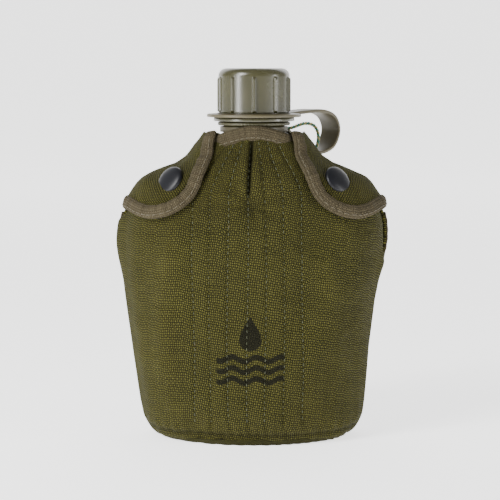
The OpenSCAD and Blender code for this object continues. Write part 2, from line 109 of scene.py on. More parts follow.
def makeStage():
    # A floor that curves up into a wall far behind: depth and height along one sweep
    bend = np.linspace(0, math.pi / 2, 12)
    depth = np.concatenate([[-3.0, -1.0], 2.0 + 1.0 * np.sin(bend), [3.0]])
    height = np.concatenate([[0.0, 0.0], 1.0 - np.cos(bend), [4.0]])
    side = np.linspace(-4, 4, 3)
    points = [(x, y, z) for y, z in zip(depth, height) for x in side]
    faces = [(3 * j + i, 3 * j + i + 1, 3 * j + i + 4, 3 * j + i + 3)
             for j in range(len(depth) - 1) for i in range(2)]
    mesh = bpy.data.meshes.new("floor")
    mesh.from_pydata(points, [], faces)
    for face in mesh.polygons:
        face.use_smooth = True
    floor = bpy.data.objects.new("floor", mesh)
    bpy.context.collection.objects.link(floor)
    mat = bpy.data.materials.new("paleFloor")
    mat.use_nodes = True
    shader = mat.node_tree.nodes["Principled BSDF"]
    shader.inputs["Base Color"].default_value = hexColour("#f6f6f5")
    shader.inputs["Roughness"].default_value = 0.9
    shader.inputs["Emission Color"].default_value = hexColour("#ffffff")  # a lit white sweep
    shader.inputs["Emission Strength"].default_value = 1.7
    mesh.materials.append(mat)
    world = bpy.data.worlds.new("studio")
    bpy.context.scene.world = world
    world.use_nodes = True
    world.node_tree.nodes["Background"].inputs["Color"].default_value = hexColour("#ffffff")
    world.node_tree.nodes["Background"].inputs["Strength"].default_value = 0.4
    makeLight("keyLight", (-0.75, -0.75, 0.85), (0, 0, 0.1), (0.45, 0.6), 15.0)
    makeLight("fillLight", (1.1, -0.9, 0.5), (0, 0, 0.1), (0.6, 0.9), 0.9)
    makeLight("capStripLeft", (-0.62, -0.5, 0.24), (0, 0, 0.19), (0.07, 0.5), 4.0)
    makeLight("capStripRight", (0.78, -0.26, 0.24), (0, 0, 0.19), (0.10, 0.5), 2.2)


makeCamera()
makeStage()


print("the bottle's skin")
# Sizes in millimetres, as the CAD has them. Stations run from the base to the plain neck: share of
# the body's height, share of the half width and half depth past the neck, share of the bend, squareness
skinShape = {"width": 132, "depth": 66, "bodyHigh": 161, "bend": 10, "neckRadius": 16.8, "baseZ": 4.4,
             "stations": [[0, 0.38, 0.25, 0.5, 2.3], [0.006, 0.66, 0.52, 0.8, 2.4],
                          [0.04, 0.765, 0.70, 0.9, 2.5], [0.1, 0.805, 0.86, 1, 2.5],
                          [0.3, 0.886, 0.97, 1, 2.5], [0.52, 0.97, 1, 1, 2.5], [0.67, 1, 0.98, 1, 2.5],
                          [0.765, 0.9, 0.83, 0.9, 2.4], [0.87, 0.62, 0.55, 0.7, 2.3],
                          [0.945, 0.25, 0.25, 0.35, 2.1], [1, 0.03, 0.04, 0, 2],
                          [1 + 9 / 161, 0, 0, 0, 2]]}
# How far each layer lies from the skin
layers = {"liningIn": 0.3, "liningOut": 2.5, "panelIn": 2.8, "panelOut": 4.4, "flapIn": 5.0,
          "flapLiningOut": 6.4, "flapClothIn": 6.5, "flapOut": 8.1}
neckZ = skinShape["baseZ"] + skinShape["bodyHigh"]
beadZ = neckZ + 9
stationList = np.array(skinShape["stations"], float)
lastStation = len(stationList) - 1


def along(rows, s):
    # Catmull-Rom blend through the rows: half of 2b + (c-a)f + (2a-5b+4c-d)f^2 + (3b-a-3c+d)f^3
    rows = np.asarray(rows, float)
    s = np.asarray(s, float)
    i = np.clip(np.floor(s).astype(int), 0, len(rows) - 2)
    f = (s - i)[..., None]
    a, b = rows[np.maximum(i - 1, 0)], rows[i]
    c, d = rows[i + 1], rows[np.minimum(i + 2, len(rows) - 1)]
    return 0.5 * (2 * b + (c - a) * f + (2 * a - 5 * b + 4 * c - d) * f ** 2 + (3 * b - a - 3 * c + d)
                  * f ** 3)


def signedPower(c, power):
    return np.sign(c) * np.abs(c) ** power


def skin(t, s):
    # Squared oval swept up the stations: x = w cos, y = d sin plus the bend times cos squared, z = height
    t, s = np.broadcast_arrays(np.asarray(t, float), np.asarray(s, float))
    q = along(stationList, s)
    power = 2 / q[..., 4]
    cx = signedPower(np.round(np.cos(np.radians(t)), 12), power)
    sy = signedPower(np.round(np.sin(np.radians(t)), 12), power)
    neck = skinShape["neckRadius"]
    w = neck + (skinShape["width"] / 2 - neck) * q[..., 1]
    d = neck + (skinShape["depth"] / 2 - neck) * q[..., 2]
    return np.stack([w * cx, d * sy + skinShape["bend"] * q[..., 3] * cx ** 2,
                     skinShape["baseZ"] + skinShape["bodyHigh"] * q[..., 0]], -1)


def unit(v):
    return v / np.linalg.norm(v, axis=-1, keepdims=True)


def skinNormal(t, s):
    t, s = np.broadcast_arrays(np.asarray(t, float), np.asarray(s, float))
    return unit(np.cross(skin(t + 1.5, s) - skin(t - 1.5, s),
                         skin(t, np.minimum(s + 0.06, lastStation)) - skin(t, np.maximum(s - 0.06, 0))))


def layer(t, s, off):
    # A point at distance off outside the skin
    return skin(t, s) + np.asarray(off, float)[..., None] * skinNormal(t, s)


def stationAt(z):
    # Station whose height is z, by halving
    z = np.asarray(z, float)
    low, high = np.zeros_like(z), np.full_like(z, lastStation)
    for _ in range(34):
        middle = (low + high) / 2
        below = skinShape["baseZ"] + skinShape["bodyHigh"] * along(stationList, middle)[..., 0] < z
        low, high = np.where(below, middle, low), np.where(below, high, middle)
    return middle


backFlareShare = 0.55  # of the way out to the flaps, so that the flared edge stays under the hem


def backOut(t, s):
    # The back cloth stands off further at the shoulders' sides, to meet the flaps
    share = smooth(along(stationList, s)[..., 0], 0.5, 0.66)
    side = 1 - smooth(np.abs(np.sin(np.radians(t))), 0.3, 0.95)
    return layers["panelOut"] + backFlareShare * (layers["flapOut"] - layers["panelOut"]) * share * side


# How the cover fills out past the CAD's plain layers: what its left and right sides stand out at each
# height, and how the cloth is drawn tight over the shoulders, hollow low down and bridging to the neck
coverFit = {"heights": [4, 20, 50, 77, 105, 125, 135, 146, 152],
            "left": [0.8, 2.0, 2.6, 3.0, 3.2, 3.2, 3.4, 1.2, 0.0],
            "right": [0.4, 0.4, -1.0, -1.0, 1.4, 3.4, 4.0, 1.4, 0.0],
            "shoulders": [138, 144, 149, 153, 157, 161, 165],
            "leftDraw": [0, -1.7, -3.2, -2.6, 0.4, 2.6, 3.6],
            "rightDraw": [0, -3.0, -4.4, -3.2, 0.2, 2.4, 3.4]}


def cover(t, s, off):
    # A cover layer: its offset is drawn in or out over the shoulders, then the sides belly out by height
    z = skinShape["baseZ"] + skinShape["bodyHigh"] * along(stationList, s)[..., 0]
    left = np.cos(np.radians(t)) < 0
    flank = 1 - smooth(np.abs(np.sin(np.radians(t))), 0.6, 0.93)
    draw = np.where(left, np.interp(z, coverFit["shoulders"], coverFit["leftDraw"]),
                    np.interp(z, coverFit["shoulders"], coverFit["rightDraw"]))
    belly = np.where(left, np.interp(z, coverFit["heights"], coverFit["left"]),
                     np.interp(z, coverFit["heights"], coverFit["right"]))
    belly = belly * smooth(np.abs(np.cos(np.radians(t))), 0.5, 1)
    return layer(t, s, off * (1 + draw * flank / layers["flapOut"]) + belly)


def frontTop(t):
    # The front cloth's top edge arches up at the middle
    return beadZ - 0.6 - 12.0 * (1 - np.abs(np.sin(np.radians(t))))


print("mesh helpers")


def quadGrid(rows, cols, closed=False):
    # Faces of a grid of points, row after row; closed joins the last column to the first
    j, i = np.meshgrid(np.arange(rows - 1), np.arange(cols if closed else cols - 1), indexing="ij")
    a = j * cols + i
    b = j * cols + (i + 1) % cols
    return np.stack([a, b, b + cols, a + cols], -1).reshape(-1, 4)


def signedVolume(points, faces):
    # Six times the volume under the faces, each cut into triangles at its first corner
    p = points[faces]
    total = np.einsum("ij,ij->i", p[:, 0], np.cross(p[:, 1], p[:, 2])).sum()
    return total + np.einsum("ij,ij->i", p[:, 0], np.cross(p[:, 2], p[:, 3])).sum()


def addPiece(name, points, faces, mat, fields=None):
    # Points in millimetres, faces as quads; a quad that repeats a corner is kept as a triangle
    points = np.asarray(points, float).reshape(-1, 3)
    if signedVolume(points, faces) < 0:
        faces = faces[:, ::-1]
    mesh = bpy.data.meshes.new(name)
    mesh.from_pydata((points * millimetre).tolist(), [], [list(dict.fromkeys(f)) for f in faces.tolist()])
    mesh.polygons.foreach_set("use_smooth", np.ones(len(mesh.polygons), bool))
    for key, values in (fields or {}).items():
        values = np.asarray(values, np.float32)
        kind = "FLOAT_VECTOR" if values.shape[-1:] == (3,) and values.ndim > 1 else "FLOAT"
        mesh.attributes.new(key, kind, "POINT").data.foreach_set(
            "vector" if kind == "FLOAT_VECTOR" else "value", values.ravel())
    mesh.materials.append(mat)
    mesh.update()
    obj = bpy.data.objects.new(name, mesh)
    bpy.context.collection.objects.link(obj)
    return obj


def slabFaces(rows, cols, closed=False):
    # Outer grid, inner grid facing the other way, and a rim round the edges
    top = quadGrid(rows, cols, closed)
    skip = rows * cols
    rim = []
    end = (rows - 1) * cols
    i = np.arange(cols if closed else cols - 1)
    k = (i + 1) % cols
    rim.append(np.stack([k, i, skip + i, skip + k], -1))
    rim.append(np.stack([end + i, end + k, skip + end + k, skip + end + i], -1))
    if not closed:
        j = np.arange(rows - 1) * cols
        rim.append(np.stack([j, j + cols, skip + j + cols, skip + j], -1))
        j = j + cols - 1
        rim.append(np.stack([j + cols, j, skip + j, skip + j + cols], -1))
    return np.concatenate([top, top[:, ::-1] + skip] + rim)


def clothPlace(grid, middle):
    # Place on the cloth in millimetres: arc length across from the middle column, and up from the low edge
    across = np.concatenate([np.zeros((grid.shape[0], 1)),
                             np.cumsum(np.linalg.norm(np.diff(grid, axis=1), axis=-1), 1)], 1)
    across -= across[:, middle:middle + 1]
    up = np.concatenate([np.zeros((1, grid.shape[1])),
                         np.cumsum(np.linalg.norm(np.diff(grid, axis=0), axis=-1), 0)], 0)
    return np.stack([across, up, np.zeros_like(up)], -1)


def addSlab(name, outer, inner, mat, middle=0, closed=False, fields=None):
    rows, cols = outer.shape[:2]
    place = clothPlace(outer, middle)
    every = {"clothPlace": np.concatenate([place, place]).reshape(-1, 3)}
    for key, values in (fields or {}).items():
        every[key] = np.concatenate([values, values]).ravel()
    points = np.concatenate([outer.reshape(-1, 3), inner.reshape(-1, 3)])
    return addPiece(name, points, slabFaces(rows, cols, closed), mat, every)


def pathFrames(path):
    # Heading along a path of points
    return unit(np.gradient(path, axis=0))


def addSweep(name, path, side, up, profile, mat, scale=None, fields=None):
    # A closed profile (across, up) carried along a path; both ends close on their middles
    path, profile = np.asarray(path, float), np.asarray(profile, float)
    scale = np.ones((len(path), 1)) if scale is None else np.asarray(scale)[:, None]
    if profile.ndim == 2:
        profile = np.repeat(profile[None], len(path), 0)
    rings = (path[:, None] + profile[..., :1] * scale[..., None] * side[:, None]
             + profile[..., 1:] * scale[..., None] * up[:, None])
    rows, cols = rings.shape[:2]
    points = np.concatenate([rings.reshape(-1, 3), rings[0].mean(0)[None], rings[-1].mean(0)[None]])
    i = np.arange(cols)
    k = (i + 1) % cols
    low, high = np.full(cols, rows * cols), np.full(cols, rows * cols + 1)
    end = (rows - 1) * cols
    faces = np.concatenate([quadGrid(rows, cols, True), np.stack([k, i, low, low], -1),
                            np.stack([end + i, end + k, high, high], -1)])
    run = np.concatenate([[0], np.cumsum(np.linalg.norm(np.diff(path, axis=0), axis=1))])
    loop = np.concatenate([profile[0], profile[0][:1]])
    turn = np.concatenate([[0], np.cumsum(np.linalg.norm(np.diff(loop, axis=0), axis=1))])[:-1]
    place = np.stack(np.broadcast_arrays(turn[None], run[:, None], 0.0), -1).reshape(-1, 3)
    place = np.concatenate([place, place[:1], place[-1:]])
    return addPiece(name, points, faces, mat, {"clothPlace": place, **(fields or {})})


def lathe(name, profile, mat, columns=96, centre=(0, 0, 0), axes=None, dent=None, fields=None):
    # A closed outline (radius, height) turned round an axis; dent adds to the radius at (angle, row)
    profile = np.asarray(profile, float)
    angle = np.radians(np.arange(columns) * 360 / columns)
    radius = np.repeat(profile[:, :1], columns, 1) + (0 if dent is None else dent(angle[None], profile))
    x, y = radius * np.cos(angle), radius * np.sin(angle)
    z = np.repeat(profile[:, 1:], columns, 1)
    basis = np.eye(3) if axes is None else np.asarray(axes, float)
    grid = np.asarray(centre, float) + np.stack([x, y, z], -1) @ basis
    rows = len(profile)
    faces = quadGrid(rows, columns, True)
    if profile[0, 0] < 1e-6 and profile[-1, 0] < 1e-6:
        grid[0], grid[-1] = grid[0, 0], grid[-1, 0]
        faces[faces < columns] = 0
        faces[faces >= (rows - 1) * columns] = (rows - 1) * columns
        used = np.unique(faces)
        number = np.zeros(rows * columns, int)
        number[used] = np.arange(len(used))
        return addPiece(name, grid.reshape(-1, 3)[used], number[faces], mat)
    i = np.arange(columns)
    k = (i + 1) % columns
    end = (rows - 1) * columns
    faces = np.concatenate([faces, np.stack([end + i, end + k, k, i], -1)])
    return addPiece(name, grid.reshape(-1, 3), faces, mat)


def roundCorners(outline, radii, count=4, closed=True):
    # Each corner of an outline is replaced by an arc that leaves its sides at the same distance
    outline = np.asarray(outline, float)
    radii = np.broadcast_to(np.asarray(radii, float), len(outline))
    before, after = np.roll(outline, 1, 0), np.roll(outline, -1, 0)
    parts = []
    for here, back, on, r, index in zip(outline, before, after, radii, range(len(outline))):
        if r <= 0 or (not closed and index in (0, len(outline) - 1)):
            parts.append(here[None])
            continue
        a, b = unit(back - here) * r, unit(on - here) * r
        f = np.linspace(0, 1, count + 1)[:, None]
        parts.append(here + a * (1 - f) ** 2 + b * f ** 2)
    return np.concatenate(parts)


print("materials")


def newMaterial(name):
    mat = bpy.data.materials.new(name)
    mat.use_nodes = True
    return mat, mat.node_tree, mat.node_tree.nodes["Principled BSDF"]


def addNode(tree, kind, settings=None, links=None):
    # Adds one node; settings are properties or socket values, links are sockets fed by another node's output
    node = tree.nodes.new(kind)
    for key, value in (settings or {}).items():
        if isinstance(key, str) and hasattr(node, key):
            setattr(node, key, value)
        else:
            node.inputs[key].default_value = value
    for key, source in (links or {}).items():
        tree.links.new(source, node.inputs[key])
    return node


def mathNode(tree, operation, a, b=0.0, c=None):
    node = tree.nodes.new("ShaderNodeMath")
    node.operation = operation
    for socket, value in zip(node.inputs, (a, b) if c is None else (a, b, c)):
        if isinstance(value, (int, float)):
            socket.default_value = value
        else:
            tree.links.new(value, socket)
    return node.outputs[0]


def mixColours(tree, share, first, second, blend="MIX"):
    node = addNode(tree, "ShaderNodeMix", {"data_type": "RGBA", "blend_type": blend})
    for index, value in ((0, share), (6, first), (7, second)):
        if hasattr(value, "is_linked") or hasattr(value, "links"):
            tree.links.new(value, node.inputs[index])
        else:
            node.inputs[index].default_value = value
    return node.outputs[2]


def wovenCloth(name, settings):
    # Plain weave: sin(pi u / p) sin(pi v / p); its sign says which thread is on top, its size how proud
    mat, tree, shader = newMaterial(name)
    place = addNode(tree, "ShaderNodeAttribute", {"attribute_name": "clothPlace"}).outputs["Vector"]
    warpNoise = addNode(tree, "ShaderNodeTexNoise", {"Scale": 0.07, "Detail": 2.0}, {"Vector": place})
    bent = addNode(tree, "ShaderNodeVectorMath", {"operation": "SCALE", "Scale": settings["wander"]},
                   {0: warpNoise.outputs["Color"]}).outputs[0]
    moved = addNode(tree, "ShaderNodeVectorMath", {"operation": "ADD"}, {0: place, 1: bent}).outputs[0]
    turned = addNode(tree, "ShaderNodeMapping", {"Rotation": (0, 0, math.radians(settings["slant"]))},
                     {"Vector": moved}).outputs[0]
    parts = addNode(tree, "ShaderNodeSeparateXYZ", {}, {0: turned}).outputs
    across = mathNode(tree, "SINE", mathNode(tree, "MULTIPLY", parts[0], math.pi / settings["warp"]))
    up = mathNode(tree, "SINE", mathNode(tree, "MULTIPLY", parts[1], math.pi / settings["weft"]))
    weave = mathNode(tree, "MULTIPLY", across, up)
    proud = mathNode(tree, "POWER", mathNode(tree, "ABSOLUTE", weave), 0.8)
    onTop = mathNode(tree, "GREATER_THAN", weave, 0.0)
    # Slubs: noise drawn out along each thread's own direction
    warpStretch = addNode(tree, "ShaderNodeMapping", {"Scale": (1.1, 0.05, 1)}, {"Vector": turned}).outputs[0]
    weftStretch = addNode(tree, "ShaderNodeMapping", {"Scale": (0.05, 1.1, 1)}, {"Vector": turned}).outputs[0]
    warpSlub = addNode(tree, "ShaderNodeTexNoise", {"Scale": 1.0, "Detail": 1.0}, {"Vector": warpStretch})
    weftSlub = addNode(tree, "ShaderNodeTexNoise", {"Scale": 1.0, "Detail": 1.0}, {"Vector": weftStretch})
    slub = addNode(tree, "ShaderNodeMix", {"data_type": "FLOAT"},
                   {0: onTop, 2: warpSlub.outputs[0], 3: weftSlub.outputs[0]}).outputs[0]
    fuzz = addNode(tree, "ShaderNodeTexNoise", {"Scale": 1.6, "Detail": 3.0}, {"Vector": place}).outputs[0]
    blotch = addNode(tree, "ShaderNodeTexNoise", {"Scale": 0.035, "Detail": 3.0},
                     {"Vector": place}).outputs[0]
    base = mixColours(tree, onTop, hexColour(settings["warpColour"]), hexColour(settings["weftColour"]))
    thread = addNode(tree, "ShaderNodeMapRange",
                     {"From Min": 0.3, "From Max": 0.7, "To Min": 0.0, "To Max": 1.0},
                     {"Value": slub}).outputs[0]
    base = mixColours(tree, mathNode(tree, "MULTIPLY", thread, settings["slub"]), base,
                      hexColour(settings["lightColour"]))
    # Painted shade: where the threads sink, the gaps between them are drawn towards a dark colour
    gap = mathNode(tree, "SUBTRACT", 1.0, proud)
    base = mixColours(tree, mathNode(tree, "MULTIPLY", gap, settings["gap"]), base,
                      hexColour(settings["gapShadeColour"]))
    spread = addNode(tree, "ShaderNodeMapRange", {"From Min": 0.3, "From Max": 0.7, "To Min": 0.9,
                                                  "To Max": 1.08}, {"Value": blotch}).outputs[0]
    # The shade attribute scales the colour together with the random tone spread: painted shade and light in folds,
    # seams and dips, and random tone on the flaps
    shade = addNode(tree, "ShaderNodeAttribute", {"attribute_name": "shade"}).outputs["Fac"]
    grey = addNode(tree, "ShaderNodeCombineColor", {}, dict.fromkeys(range(3), mathNode(
        tree, "MULTIPLY", spread, mathNode(tree, "ADD", shade, 1.0)))).outputs[0]
    base = mixColours(tree, 1.0, base, grey, "MULTIPLY")
    if settings.get("ink"):
        ink = addNode(tree, "ShaderNodeAttribute", {"attribute_name": "ink"}).outputs["Fac"]
        ragged = mathNode(tree, "ADD", ink,
                          mathNode(tree, "MULTIPLY", mathNode(tree, "SUBTRACT", fuzz, 0.5), 0.8))
        printed = addNode(tree, "ShaderNodeMapRange", {"From Min": -0.25, "From Max": 0.25, "To Min": 0.93,
                                                       "To Max": 0.0}, {"Value": ragged}).outputs[0]
        printed = mathNode(tree, "MULTIPLY", printed, mathNode(tree, "ADD", 0.72, mathNode(
            tree, "MULTIPLY", proud, 0.28)))
        base = mixColours(tree, printed, base, hexColour(settings["ink"]))
    tree.links.new(base, shader.inputs["Base Color"])
    shader.inputs["Roughness"].default_value = settings["roughness"]
    shader.inputs["Sheen Weight"].default_value = settings["sheen"]
    shader.inputs["Sheen Roughness"].default_value = 0.5
    shader.inputs["Sheen Tint"].default_value = hexColour(settings["lightColour"])
    shader.inputs["IOR"].default_value = 1.45
    shader.inputs["Specular IOR Level"].default_value = 0.18
    height = mathNode(tree, "ADD", mathNode(tree, "MULTIPLY", proud, mathNode(
        tree, "ADD", 0.55, mathNode(tree, "MULTIPLY", slub, 0.9))), mathNode(tree, "MULTIPLY", fuzz, 0.35))
    bump = addNode(tree, "ShaderNodeBump", {"Strength": settings["bump"], "Distance": settings["depth"]},
                   {"Height": height})
    tree.links.new(bump.outputs[0], shader.inputs["Normal"])
    return mat


# Cotton duck: heavy plain weave of two-ply yarn, garment dyed, dry and matt with a little fuzz.
# Its real yarns are 0.55 mm apart, too fine to show, so they are drawn 1.2 mm apart
cottonDuck = wovenCloth("cottonDuck", {
    "warp": 1.2, "weft": 1.3, "slant": 9, "wander": 1.6, "slub": 0.3, "gap": 1.0, "ink": "#0b0b08",
    "warpColour": "#545122", "weftColour": "#3f3d19", "lightColour": "#8a8640", "gapShadeColour": "#050502",
    "roughness": 0.93, "sheen": 0.02, "bump": 1.0, "depth": 0.0008})
# Cotton twill tape: ribs 1.2 mm apart across the tape, softer and browner than the duck
cottonTape = wovenCloth("cottonTape", {
    "warp": 1.3, "weft": 0.9, "slant": 0, "wander": 0.8, "slub": 0.45, "gap": 0.55,
    "warpColour": "#4b4432", "weftColour": "#40392a", "lightColour": "#7a6f55", "gapShadeColour": "#1b1810",
    "roughness": 0.94, "sheen": 0.05, "bump": 0.9, "depth": 0.0006})
# Brushed wool-mix fleece: no weave shows, only tufts a few millimetres across
fleeceLining = wovenCloth("fleeceLining", {
    "warp": 2.6, "weft": 3.1, "slant": 20, "wander": 9, "slub": 0.5, "gap": 0.5,
    "warpColour": "#5d5340", "weftColour": "#544b39", "lightColour": "#7b7058", "gapShadeColour": "#2a251b",
    "roughness": 0.97, "sheen": 0.6, "bump": 1.0, "depth": 0.0012})
# Cotton webbing: herringbone of coarse yarn 1.6 mm apart
cottonWebbing = wovenCloth("cottonWebbing", {
    "warp": 1.6, "weft": 0.8, "slant": 45, "wander": 0.2, "slub": 0.4, "gap": 0.8,
    "warpColour": "#56512f", "weftColour": "#4d492a", "lightColour": "#77713f", "gapShadeColour": "#201e12",
    "roughness": 0.9, "sheen": 0.15, "bump": 1.0, "depth": 0.0007})


def mouldedPlastic(name, settings):
    # Polyethylene from a blasted mould: fine grain under a soft sheen, paler where it is scuffed
    mat, tree, shader = newMaterial(name)
    place = addNode(tree, "ShaderNodeTexCoord").outputs["Object"]
    grain = addNode(tree, "ShaderNodeTexNoise", {"Scale": 1000 / settings["grain"], "Detail": 2.0},
                    {"Vector": place}).outputs[0]
    cloud = addNode(tree, "ShaderNodeTexNoise", {"Scale": 60.0, "Detail": 4.0}, {"Vector": place}).outputs[0]
    patches = addNode(tree, "ShaderNodeMapRange", {"From Min": 0.35, "From Max": 0.7},
                      {"Value": cloud}).outputs[0]
    base = mixColours(tree, patches, hexColour(settings["colour"]), hexColour(settings["scuffed"]))
    tree.links.new(base, shader.inputs["Base Color"])
    rough = addNode(tree, "ShaderNodeMapRange", {"To Min": settings["roughness"] - 0.05,
                                                 "To Max": settings["roughness"] + 0.1}, {"Value": cloud})
    tree.links.new(rough.outputs[0], shader.inputs["Roughness"])
    shader.inputs["IOR"].default_value = 1.51
    shader.inputs["Specular IOR Level"].default_value = settings["gloss"]
    shader.inputs["Subsurface Weight"].default_value = 0.0
    bump = addNode(tree, "ShaderNodeBump", {"Strength": settings["bump"], "Distance": 0.0002},
                   {"Height": grain})
    tree.links.new(bump.outputs[0], shader.inputs["Normal"])
    return mat


capPolyethylene = mouldedPlastic("capPolyethylene", {
    "colour": "#35331a", "scuffed": "#3d3b20", "roughness": 0.24, "gloss": 0.8, "grain": 0.5, "bump": 0.2})
bottlePolyethylene = mouldedPlastic("bottlePolyethylene", {
    "colour": "#3d3a20", "scuffed": "#47442a", "roughness": 0.38, "gloss": 0.5, "grain": 0.7, "bump": 0.3})
strapPolyethylene = mouldedPlastic("strapPolyethylene", {
    "colour": "#4b4530", "scuffed": "#575038", "roughness": 0.42, "gloss": 0.45, "grain": 0.6, "bump": 0.3})
# Black rubber, pressed: dull, hardly any shine
gasketRubber = mouldedPlastic("gasketRubber", {
    "colour": "#1d1c1b", "scuffed": "#2a2826", "roughness": 0.7, "gloss": 0.3, "grain": 0.4, "bump": 0.3})
# Black baked enamel over brass: smooth, satin, faintly blue
enamelledBrass = mouldedPlastic("enamelledBrass", {
    "colour": "#08090e", "scuffed": "#0e0f15", "roughness": 0.36, "gloss": 0.35, "grain": 2.0, "bump": 0.05})
# Spring steel in black oxide: dark, semi-matt, with rubbed patches
blackenedSteel = mouldedPlastic("blackenedSteel", {
    "colour": "#20201f", "scuffed": "#34322e", "roughness": 0.4, "gloss": 0.7, "grain": 0.8, "bump": 0.15})


def yarn(name, colours, turnLength, roughness=0.75):
    # Spun yarn: its ply shows as slanting stripes, in two colours from the ply attribute, with painted shade in
    # the grooves between its turns
    mat, tree, shader = newMaterial(name)
    place = addNode(tree, "ShaderNodeAttribute", {"attribute_name": "clothPlace"}).outputs["Vector"]
    parts = addNode(tree, "ShaderNodeSeparateXYZ", {}, {0: place}).outputs
    slope = mathNode(tree, "ADD", parts[0], parts[1])
    wave = mathNode(tree, "ABSOLUTE",
                    mathNode(tree, "SINE", mathNode(tree, "MULTIPLY", slope, math.pi / turnLength)))
    ply = addNode(tree, "ShaderNodeAttribute", {"attribute_name": "ply"}).outputs["Fac"]
    base = mixColours(tree, ply, hexColour(colours[0]), hexColour(colours[1]))
    # Painted shade: the third colour darkens the grooves between the turns
    base = mixColours(tree, mathNode(tree, "MULTIPLY", mathNode(tree, "SUBTRACT", 1.0, wave), 0.5), base,
                      hexColour(colours[2]))
    tree.links.new(base, shader.inputs["Base Color"])
    shader.inputs["Roughness"].default_value = roughness
    shader.inputs["Sheen Weight"].default_value = 0.2
    bump = addNode(tree, "ShaderNodeBump", {"Strength": 0.6, "Distance": 0.0002}, {"Height": wave})
    tree.links.new(bump.outputs[0], shader.inputs["Normal"])
    return mat


# Cotton-wrapped sewing thread, waxed, paler and greener than the duck
sewingThread = yarn("sewingThread", ("#4c5133", "#4c5133", "#232312"), 0.6)
# The same thread in khaki, on the tapes
tapeThread = yarn("tapeThread", ("#5f563e", "#5f563e", "#332d1f"), 0.6)
# Two-ply decorative cord, one ply teal rayon and one gold
twistedRayon = yarn("twistedRayon", ("#086a4f", "#a09550", "#0b3026"), 0.5, 0.5)


print("front cloth")
# seamZ is below the CAD's base seam: the front cloth runs lower, round the bottom corners
frontCloth = {"rows": 200, "cols": 216, "seamZ": 5.6, "around": 3.0,
              "rowsX": (-33.3, -24.3, -14.3, -3.6, 6.1, 16.1, 26.2),
              "rowLow": 12.0, "rowHigh": 141.0, "dartTop": (-0.8, 168.5), "dartFoot": (-3.0, 137.6),
              "dimple": (-1.5, 132.0)}
markSize = {"middle": (-2.0, 52.0), "drop": 17.0, "bars": (37.0, 1.55, 1.3, 5.9)}


def rowShift(z):
    # The stitched rows run straight up, then lean in towards the collar
    return 1 - 0.58 * smooth(z, frontCloth["rowHigh"] - 6, 172)


def inkDistance(x, z):
    # A water drop, as a circle drawn up to a point, over three wavy bars; below 0 is inked, in millimetres
    cx, cz = markSize["middle"]
    x, z = x - cx, z - cz
    high = markSize["drop"]
    belly, bowl, point = 7.2, 5.2, high - 3.0  # the drop's widest level, how deep it is below that, how tall above
    half = 6.0 * np.where(z < belly, np.sqrt(np.clip(1 - ((z - belly) / bowl) ** 2, 0, 1)),
                          np.cos(np.clip((z - belly) / point, 0, 1) * math.pi / 2) ** 1.25)
    drop = np.maximum(np.abs(x) - half, np.abs(z - belly - (point - bowl) / 2) - (point + bowl) / 2)
    wide, thick, swing, step = markSize["bars"]
    bars = [np.maximum(np.abs(z + 2.6 + step * k - swing * np.sin(x * 2 * math.pi / 13)) - thick,
                       np.abs(x) - wide / 2) for k in range(3)]
    return np.clip(np.minimum.reduce([drop] + bars), -3, 3)


